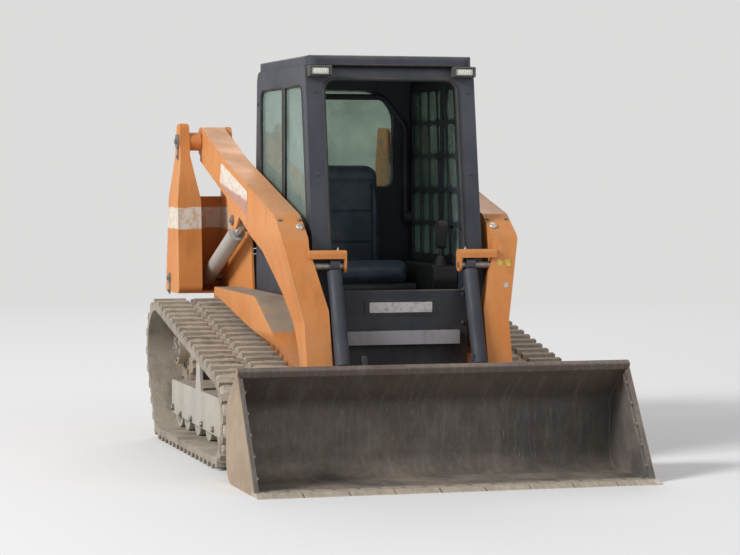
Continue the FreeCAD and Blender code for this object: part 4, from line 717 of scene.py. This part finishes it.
def make_arm_details():
    """Pin bolts, the bright heads at the knees, and grease nipples."""
    dark, bright = bmesh.new(), bmesh.new()
    add_bolt_pairs(dark, ARM_BOLTS)
    for side in SIDES:
        add_rings(bright, mirrored(KNEE_HEAD, side), KNEE_NORMAL, KNEE_HEAD_RINGS, 28)
        add_rings(bright, mirrored(NIPPLE, side), UP, NIPPLE_RINGS, 14)
    new_piece("arm_bolts", dark, "pins", "lift_arms", smooth=False)
    new_piece("arm_bright_heads", bright, "bright_pin", "lift_arms", "pins")


# Weld seams as (x, z) points: along each beam's outer plate, and on the towers with the y of each
ARM_SEAMS = [[(-1.150, 1.699), (-0.650, 1.545), (0.500, 1.264)], [(-1.120, 1.545), (-0.620, 1.375)],
             [(-0.240, 1.255), (-0.020, 1.175)]]
ARM_BEAD = 0.0042
CROSS_TUBE_END = (0.838, 0.403, 0.185)
CROSS_TUBE_R = 0.047
TOWER_Y = 0.640
TOWER_SEAMS = [(TOWER_Y, (-1.506, 0.815), (-1.420, 1.345)), (TOWER_Y, (-1.505, 0.814), (-1.175, 0.814)),
               (TUB_Y, (-1.460, 1.160), (-1.060, 1.160)), (TUB_Y, (-1.505, 0.815), (-1.424, 1.155))]


def make_arm_welds():
    """The seams along each beam's outer plate and round the cross tube's ends."""
    bm = bmesh.new()
    for side in SIDES:
        for seam in ARM_SEAMS:
            add_weld(bm, [(x, side * (ARM_Y - SINK), z) for x, z in seam], ARM_BEAD)
        add_ring_weld(bm, mirrored(CROSS_TUBE_END, side), CROSS_TUBE_R)
    new_piece("arm_welds", bm, "orange_paint", "lift_arms")


def make_tower_welds():
    """Where each tower's column meets its plate and foot, and its cheek the tub."""
    bm = bmesh.new()
    for side in SIDES:
        for y, *seam in TOWER_SEAMS:
            add_weld(bm, [(x, side * y, z) for x, z in seam])
    new_piece("tower_welds", bm, "orange_paint", "chassis")


IDLER = (0.520, 0.250)
SPROCKET_BELT_R = 0.255  # to the belt's outer face, round the sprocket
IDLER_BELT_R = 0.225
BELT_BANDS = ((0.543, 0.716), (0.764, 0.937))  # the lugs' two rows, either side of the plain strip
EARTH_PITCH = 0.008
EARTH_DEPTH = 0.013
EARTH_SINK = 0.004
EARTH_CLODS = ((0.006, 9.0), (0.004, 41.0))  # (height, scale) of its unevenness
EARTH_BEHIND = 0.95  # radians that it reaches round the sprocket, behind the top run
EARTH_AHEAD = 2.5  # and round the idler, ahead of it


def belt_path():
    """Points and outward normals over the sprocket, down the belt's top run and round the idler."""
    sprocket, idler = Vector((SPROCKET[0], 0, SPROCKET[1])), Vector((IDLER[0], 0, IDLER[1]))
    run = idler - sprocket
    lean = math.atan2(run.z, run.x) + math.acos((SPROCKET_BELT_R - IDLER_BELT_R) / run.length)
    path = []
    for centre, radius, start, end in ((sprocket, SPROCKET_BELT_R, lean + EARTH_BEHIND, lean),
                                       (idler, IDLER_BELT_R, lean, lean - EARTH_AHEAD)):
        count = round(abs(end - start) * radius / EARTH_PITCH)
        for k in range(count + 1):
            a = start + (end - start) * k / count
            out = Vector((math.cos(a), 0, math.sin(a)))
            path.append((centre + out * radius, out))
        if centre is sprocket:
            foot = path[-1][0]
            tip = idler + out * IDLER_BELT_R
            between = round((tip - foot).length / EARTH_PITCH)
            path += [(foot.lerp(tip, k / between), out) for k in range(1, between)]
    return path


def earth_loop(bm, point, out, side, inner, outer):
    """The layer's section at a point of the belt: uneven on top and thin at its borders."""
    across = round((outer - inner) / EARTH_PITCH)
    loop = []
    for k in range(across + 1):
        spot = point + Vector((0, side * (inner + (outer - inner) * k / across), 0))
        rough = sum(height * noise.noise(spot * scale) for height, scale in EARTH_CLODS)
        border = min(1.0, min(k, across - k) / 2.0)
        loop.append(bm.verts.new(spot + out * ((EARTH_DEPTH + rough) * border - SINK)))
    for y in (outer, inner):
        loop.append(bm.verts.new(point + Vector((0, side * y, 0)) - out * EARTH_SINK))
    return loop


def make_caked_earth():
    """Earth that fills most of the room between the lugs, in one uneven layer a row."""
    bm = bmesh.new()
    path = belt_path()
    for side in SIDES:
        for inner, outer in BELT_BANDS:
            skin(bm, [earth_loop(bm, point, out, side, inner, outer) for point, out in path])
    new_piece("track_caked_earth", bm, "caked_earth", "chassis", "track_rubber")


# The bucket's inner profile, (x, z, radius), from its front edge, and the corner that closes it
BUCKET_PROFILE = [(1.590, 0.012, 0.0), (1.072, 0.012, 0.098), (1.072, 0.364, 0.078), (1.286, 0.538, 0.0)]
PROFILE_CLOSER = (2.2, 0.8, 0.0)
SHARP = 0.001  # the radius given to a corner without one
BUCKET_CHEEK_Y = 0.978
CUTTER_Y = 0.966  # inner face of each side cutter
CUTTER_SEAM = ((1.600, 0.030), (1.285, 0.498))
CUTTER_BOLTS = ((1.628, 0.030), (1.306, 0.502))  # the line that they stand on
CUTTER_BOLT_SHARES = (0.10, 0.30, 0.50, 0.70, 0.90)
RIB_YS = (-0.912, -0.900, -0.712, -0.700, 0.700, 0.712, 0.900, 0.912)
RIB_SEAM = ((1.059, 0.095), (1.059, 0.335))
EDGE_SEAM = [(1.592, -0.985, 0.0205), (1.592, 0.985, 0.0205)]
EDGE_SECTIONS = 9
EDGE_PITCH = 0.220
EDGE_START_Y = -0.990
EDGE_BOLT = (1.635, 0.0195)
EDGE_BOLT_SHARES = (0.27, 0.73)
PLOUGH_HEAD = [(0.014, 0.0), (0.014, 0.0018), (0.011, 0.0034), (0.006, 0.0036)]


def profile_path(y):
    """The profile's points at a place across the bucket, with its two bends as arcs."""
    arcs = rounded([(x, z, max(radius, SHARP)) for x, z, radius in (*BUCKET_PROFILE, PROFILE_CLOSER)])
    half = ARC_STEPS // 2
    return [(u, y, v) for u, v in arcs[half:-(ARC_STEPS + 1 + half)]]


def make_bucket_details():
    """Weld beads in the bucket's corners and beside its ribs; its edges' bolts."""
    welds, bolts = bmesh.new(), bmesh.new()
    for side in SIDES:
        add_weld(welds, profile_path(side * BUCKET_CHEEK_Y), 0.006)
        add_weld(welds, [(x, side * (CUTTER_Y - SINK / 2), z) for x, z in CUTTER_SEAM], 0.004)
        low, high = (Vector((x, side * CUTTER_Y, z)) for x, z in CUTTER_BOLTS)
        for share in CUTTER_BOLT_SHARES:
            add_bolt(bolts, low.lerp(high, share), (0, -side, 0), 0.010)
    for y in RIB_YS:
        add_weld(welds, [(x, y, z) for x, z in RIB_SEAM], 0.004)
    add_weld(welds, EDGE_SEAM, 0.005)
    for section in range(EDGE_SECTIONS):
        for share in EDGE_BOLT_SHARES:
            y = EDGE_START_Y + EDGE_PITCH * (section + share)
            add_rings(bolts, (EDGE_BOLT[0], y, EDGE_BOLT[1]), UP, PLOUGH_HEAD, 6, 0.4 + y)
    new_piece("bucket_welds", welds, "worn_steel", "bucket_group")
    new_piece("bucket_bolts", bolts, "pins", "bucket_group", smooth=False)


# The cab's faces: its front leans back over its height, its back leans above a knee
CAB_Y = 0.448
CAB_FOOT_X, CAB_FOOT_Z = 0.660, 0.880
CAB_LEAN, CAB_RISE = 0.180, 1.155
CAB_FRONT_NORMAL = Vector((CAB_RISE, 0.0, CAB_LEAN)).normalized()
CAB_BACK_X, BACK_KNEE_Z = -0.610, 1.565
BACK_LEAN, BACK_RISE = 0.030, 0.470
ROOF_SEAM_Z = 2.036
PANE_MULLION = (0.002, 0.038)  # x of the panes' edges beside the middle post
PANE_REAR_X = -0.500
PANE_FRONT_GAP = 0.085  # from the front face back to the front pane


def cab_front_x(z):
    return CAB_FOOT_X - CAB_LEAN * (z - CAB_FOOT_Z) / CAB_RISE


def cab_back_x(z):
    return CAB_BACK_X + BACK_LEAN * max(0.0, z - BACK_KNEE_Z) / BACK_RISE


def side_panes():
    """The outlines of the two panes in the cab's side, in X and Z."""
    low, high = PANE_Z
    rear_edge, front_edge = PANE_MULLION
    yield window(PANE_REAR_X, rear_edge, low, high, (0.060, 0.006, 0.006, 0.060))
    yield rounded([(front_edge, low, 0.006), (cab_front_x(low) - PANE_FRONT_GAP, low, 0.060),
                   (cab_front_x(high) - PANE_FRONT_GAP, high, 0.060), (front_edge, high, 0.006)])


def make_cab_seals():
    """Rubber trim on the edges of the doorway, the windows and the roof."""
    bm = bmesh.new()
    doorway = window(-0.355, 0.355, 0.886, 1.966, (0.030, 0.030, 0.060, 0.060))
    add_trim(bm, [Vector((cab_front_x(z), y, z)) for y, z in doorway], CAB_FRONT_NORMAL,
             lip_section(0.018, -0.020, 0.005))
    for side in SIDES:
        for pane in side_panes():
            add_trim(bm, [Vector((x, side * CAB_Y, z)) for x, z in pane], Vector((0, side, 0)),
                     lip_section(0.016, -0.010, 0.0035))
    rear = window(-0.330, 0.330, 1.405, 1.945, (0.050, 0.050, 0.190, 0.190))
    add_trim(bm, [Vector((cab_back_x(z), y, z)) for y, z in rear], Vector(BACKWARD),
             lip_section(0.018, -0.010, 0.004))
    roof = window(-0.586, 0.503, -0.438, 0.438, (0.060,) * 4)
    add_tube(bm, [Vector((x, y, ROOF_SEAM_Z)) for x, y in roof], 0.005, 8, closed=True)
    new_piece("cab_seals", bm, "gasket", "chassis", "plastic")


# Down the pillars, on the front panel, and down the rear corners
CAB_BOLTS = [(cab_front_x(z), 0.405, z, CAB_FRONT_NORMAL, 0.0075) for z in (1.000, 1.480, 1.900)]
CAB_BOLTS += [(0.676, 0.330, z, FORWARD, 0.0075) for z in (0.455, 0.725, 0.870)]
CAB_BOLTS += [(-0.548, CAB_Y, z, None, 0.008) for z in (1.120, 1.500, 1.860)]


def make_cab_bolts():
    bm = bmesh.new()
    add_bolt_pairs(bm, CAB_BOLTS)
    new_piece("cab_bolts", bm, "dark_paint", "chassis", smooth=False)


WORK_LAMP = (0.535, 0.3825, 2.003)
TAIL_LAMP = (-1.515, 0.555, 1.060)
TAIL_NORMAL = Vector((-550, 0, 90)).normalized()  # of the towers' leaning back plates


def make_lamps():
    """Fluted lenses in the work lamps and on the tail lamps, with the tail lamps' bezels."""
    clear, red, bezels = bmesh.new(), bmesh.new(), bmesh.new()
    up = TAIL_NORMAL.cross(Vector((0, 1, 0)))
    rim = window(-0.053, 0.053, -0.042, 0.042, (0.010,) * 4)
    for side in SIDES:
        add_lens(clear, mirrored(WORK_LAMP, side), (1, 0, -0.02), 0.092, 0.036, 0.006, 8)
        middle = mirrored(TAIL_LAMP, side)
        add_lens(red, middle, TAIL_NORMAL, 0.100, 0.078, 0.008, 7)
        add_trim(bezels, [middle + Vector((0, u, 0)) + up * v for u, v in rim], TAIL_NORMAL,
                 lip_section(0.006, -0.006, 0.006))
    new_piece("work_lamp_lenses", clear, "lamp_lens", "chassis", "lamp")
    new_piece("tail_lamp_lenses", red, "tail_lamp", "chassis")
    new_piece("tail_lamp_bezels", bezels, "lamp", "chassis")


# Blank plates and patches: (centre, normal, up, width, height, thickness, corner)
LEG_NORMAL, LEG_UP = (660, 0, 178), (-178, 0, 660)  # of the arms' sloping leg fronts
FRONT_PLATE = ((0.6795, 0.0, 0.808), FORWARD, UP, 0.330, 0.052, 0.002, 0.006)
YELLOW_LABELS = [((0.7252, y, 1.030), LEG_NORMAL, LEG_UP, 0.030, 0.036, 0.0012, 0.003) for y in (0.512, 0.556)]
WHITE_LABEL = ((0.7556, 0.535, 0.917), LEG_NORMAL, LEG_UP, 0.022, 0.026, 0.0012, 0.003)
ARM_PATCHES = [((-0.420, side * ARM_Y, 1.404), (0, side, 0), (ARM_SLOPE, 0, 1), 0.660, 0.125, 0.0006, 0.020)
               for side in SIDES]


def make_labels():
    """Blank plates and worn patches in place of lettering or stickers."""
    for name, plates, *place in (
            ("blank_front_plate", [FRONT_PLATE], "label_white", "chassis", "grey_paint"),
            ("blank_yellow_labels", YELLOW_LABELS, "label_yellow", "lift_arms", "orange_paint"),
            ("blank_white_label", [WHITE_LABEL], "label_white", "lift_arms", "grey_paint"),
            ("arm_worn_patches", ARM_PATCHES, "decal", "lift_arms", "orange_paint")):
        bm = bmesh.new()
        for plate in plates:
            add_plate(bm, *plate)
        new_piece(name, bm, *place, smooth=False)


HANDLE_X, HANDLE_FOOT_Y = -1.560, 0.070
HANDLE_HALF = [(0.070, 1.286), (0.070, 1.314), (0.066, 1.322), (0.056, 1.327)]  # (y, z) up one leg
HANDLE_FOOT_RINGS = [(0.015, -0.004), (0.015, 0.004), (0.010, 0.006)]
HOOD_SCREWS = [(x, 0.440, 1.195, None, 0.007) for x in (-1.560, -1.100, -0.740)]
LOCK_X, LOCK_Y = -1.679, -0.375
LOCK_RINGS = [(0.012, -SINK), (0.012, 0.004), (0.009, 0.006)]
DOOR_SCREWS = [(-1.665, y, z) for z in (0.480, 1.105) for y in (-0.380, 0.0, 0.380)]


def make_hood_details():
    """The hood's lifting handle on two round feet, and its screws."""
    handle, screws = bmesh.new(), bmesh.new()
    hoop = [(HANDLE_X, -y, z) for y, z in HANDLE_HALF] + [(HANDLE_X, y, z) for y, z in reversed(HANDLE_HALF)]
    add_tube(handle, steps(hoop, 0.008), 0.006, 12)
    for y in (-HANDLE_FOOT_Y, HANDLE_FOOT_Y):
        add_rings(handle, (HANDLE_X, y, 1.290), UP, HANDLE_FOOT_RINGS, 20)
    new_piece("hood_handle", handle, "dark_paint", "hood_body")
    add_bolt_pairs(screws, HOOD_SCREWS)
    new_piece("hood_screws", screws, "pins", "hood_body", smooth=False)


def make_door_details():
    """The rear door's lock and its screws."""
    bm = bmesh.new()
    add_rings(bm, (LOCK_X, LOCK_Y, 0.858), BACKWARD, LOCK_RINGS, 24)
    add_plate(bm, (LOCK_X, LOCK_Y, 0.824), BACKWARD, UP, 0.034, 0.030, 0.005, 0.006)
    for spot in DOOR_SCREWS:
        add_bolt(bm, spot, BACKWARD, 0.0075)
    new_piece("door_fittings", bm, "pins", "rear_door_body", smooth=False)


BOOT = (0.255, 0.345, 0.999)
BOOT_PLEATS = 6
BUTTON = (0.270, 0.345, 1.233)


def make_lever_boots():
    """Pleated boots round the two control levers, and a button on each grip."""
    bm = bmesh.new()
    rings = [(0.050, 0.0)]
    for k in range(BOOT_PLEATS):
        rings += [(0.047 - 0.0045 * k, 0.002 + 0.0085 * k), (0.040 - 0.0040 * k, 0.006 + 0.0085 * k)]
    for side in SIDES:
        add_rings(bm, mirrored(BOOT, side), UP, rings, 32)
        add_rings(bm, mirrored(BUTTON, side), (0.2, 0, 1), [(0.008, 0.0), (0.008, 0.003), (0.005, 0.005)], 20)
    new_piece("lever_boots", bm, "gasket", "chassis", "plastic")


def aimed(name, data, place, aim):
    """A lamp or the camera, looking from a place at a point."""
    thing = linked(name, data)
    thing.location = place
    thing.rotation_euler = (Vector(aim) - Vector(place)).to_track_quat("-Z", "Y").to_euler()
    return thing


def set_camera():
    data = bpy.data.cameras.new("camera")
    data.lens = CAMERA_LENS_MM
    data.sensor_width = CAMERA_SENSOR_MM
    bpy.context.scene.camera = aimed("camera", data, CAMERA_AT, CAMERA_AIM)


# Soft lamps: (name, place, point that it aims at, size, watts)
LAMPS = [("key", (7.5, -22.0, 15.0), (0.0, 0.0, 0.8), (8.0, 8.0), 6200.0),
         ("fill", (18.0, 12.0, 10.0), (0.0, 0.0, 0.8), (12.0, 10.0), 620.0),
         ("rim", (-18.0, 4.0, 14.0), (0.0, 0.0, 1.0), (12.0, 8.0), 1400.0)]
SKY_LIGHT = 0.42
FLOOR_HALF = 60.0
FLOOR_FADE = (4.0, 15.0)  # distances between which the floor turns into the backdrop


def add_area(name, place, aim, size, power):
    data = bpy.data.lights.new(name, "AREA")
    data.shape = "RECTANGLE"
    data.size, data.size_y = size
    data.energy = power
    aimed(name, data, place, aim)


def set_world():
    """A soft even sky lights the loader; the camera sees a pale backdrop instead."""
    world = bpy.data.worlds.new("world")
    bpy.context.scene.world = world
    world.use_nodes = True
    g = Graph(world.node_tree)
    light = g.add("Background", Color=SKY, Strength=SKY_LIGHT).outputs[0]
    back = g.add("Background", Color=BACKDROP).outputs[0]
    g.add("OutputWorld", Surface=g.blended(g.seen(), light, back))


def make_floor():
    """A plain pale floor that turns into the backdrop far from the loader."""
    corners = [(FLOOR_HALF * x, FLOOR_HALF * y, 0) for x, y in ((-1, -1), (1, -1), (1, 1), (-1, 1))]
    mesh = bpy.data.meshes.new("floor")
    mesh.from_pydata(corners, [], [(0, 1, 2, 3)])
    g = Surface("floor")
    g.finish(FLOOR_PALE, 0.9, g.bump(g.noise(3.0), 0.02, 0.002), Specular_IOR_Level=0.1)
    away = g.add("VectorMath", {"operation": "LENGTH"})
    g.put(away.inputs[0], g.place)
    far = g.times(g.span(away.outputs["Value"], *FLOOR_FADE), g.seen())
    glow = g.add("Emission", Color=BACKDROP, Strength=1.0).outputs[0]
    g.put(g.output.inputs["Surface"], g.blended(far, g.shader.outputs[0], glow))
    mesh.materials.append(g.material)
    linked("floor", mesh)


def set_stage():
    set_world()
    for lamp in LAMPS:
        add_area(*lamp)
    make_floor()
    bpy.context.scene.view_settings.view_transform = "Standard"


# Seat: how far its CAD shape shrinks before it swells, the swelling's cap, and the mesh that swells
PAD_INSET = 0.010
PAD_CAP = 0.014
VOXEL = 0.006
PRESSURE = 4.0
SWELL_FRAMES = 20
REST_GAP = 0.001  # a pad's foot stays this far above its CAD solid's
CHANNEL_DEPTH = 0.006
CHANNEL_WIDTH = 0.007
FAR = 9.0  # the distance given where a channel doesn't run


def apply_modifiers(piece):
    graph = bpy.context.evaluated_depsgraph_get()
    evaluated = bpy.data.meshes.new_from_object(piece.evaluated_get(graph))
    piece.modifiers.clear()
    old = piece.data
    piece.data = evaluated
    bpy.data.meshes.remove(old)


def swell(piece, lowest):
    """Cloth pressure, with each point's move capped and none lower than what the pad rests on."""
    start = [vertex.co.copy() for vertex in piece.data.vertices]
    cloth = piece.modifiers.new("cloth", "CLOTH")
    cloth.settings.use_pressure = True
    cloth.settings.uniform_pressure_force = PRESSURE
    cloth.settings.effector_weights.gravity = 0.0
    cloth.settings.quality = 4
    scene = bpy.context.scene
    for number in range(1, SWELL_FRAMES + 1):
        scene.frame_set(number)
    apply_modifiers(piece)
    scene.frame_set(1)
    for vertex, rest in zip(piece.data.vertices, start):
        moved = vertex.co - rest
        if moved.length > PAD_CAP:
            vertex.co = rest + moved.normalized() * PAD_CAP
        vertex.co.z = max(vertex.co.z, lowest)


def inflated(name, node):
    """A padded piece grown by cloth pressure from the shrunken shape of its CAD solid."""
    low, high = corners_of(node)
    middle, size = (low + high) / 2, high - low
    mesh = frame["nodes"][node].data.copy()
    mesh.name = name
    shrink = Vector([1 - 2 * PAD_INSET / side for side in size])
    for vertex in mesh.vertices:
        vertex.co = middle + (vertex.co - middle) * shrink
    piece = linked(name, mesh)
    remesh = piece.modifiers.new("remesh", "REMESH")
    remesh.mode = "VOXEL"
    remesh.voxel_size = VOXEL
    remesh.use_smooth_shade = True
    apply_modifiers(piece)
    swell(piece, low.z + REST_GAP)
    return piece


def corners_of(node):
    return [Vector(corner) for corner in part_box(node)]


def sew(piece, lines):
    """Presses sewn channels into the padding, by each line's distance from a point."""
    vertices = piece.data.vertices
    # Each normal is read before any point moves: reading one afterwards works all of them out again
    normals = [vertex.normal.copy() for vertex in vertices]
    for vertex, normal in zip(vertices, normals):
        for distance in lines:
            away = distance(vertex.co)
            vertex.co -= normal * CHANNEL_DEPTH * math.exp(-(away / CHANNEL_WIDTH) ** 2)


def channels(axis, end, half, *others):
    """Sewn lines across a pad at its end, along its sides, and across it at other places."""
    across = [lambda p, at=at: abs(p[axis] - at) if abs(p.y) < half else FAR for at in (end, *others)]
    return [across[0], lambda p: abs(abs(p.y) - half) if p[axis] < end else FAR, *across[1:]]


def make_pad(name, node, lines):
    """One padded piece of the seat, swollen, sewn and smoothed."""
    piece = inflated(name, node)
    sew(piece, lines)
    piece.data.materials.clear()
    piece.data.materials.append(materials["seat_vinyl"])
    smooth = piece.modifiers.new("smooth", "SUBSURF")
    smooth.levels = 1
    smooth.render_levels = 1
    apply_modifiers(piece)
    for polygon in piece.data.polygons:
        polygon.use_smooth = True
    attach(piece, "chassis")
    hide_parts(node)


def make_seat():
    """The cushion, and the back with two channels across it."""
    low, high = corners_of("seat_cushion")
    make_pad("seat_cushion_pad", "seat_cushion", channels(0, high.x - 0.085, high.y - 0.075, low.x + 0.22))
    high = corners_of("seat_back")[1]
    top = high.z - 0.11
    make_pad("seat_back_pad", "seat_back", channels(2, top, high.y - 0.065, top - 0.17, top - 0.34))


def main():
    for make in (set_camera, set_stage, dress_nodes, make_seat, make_chassis_bolts, make_arm_details,
                 make_arm_welds, make_tower_welds, make_caked_earth, make_bucket_details, make_cab_seals,
                 make_cab_bolts, make_lamps, make_labels, make_hood_details, make_door_details,
                 make_lever_boots):
        make()


main()
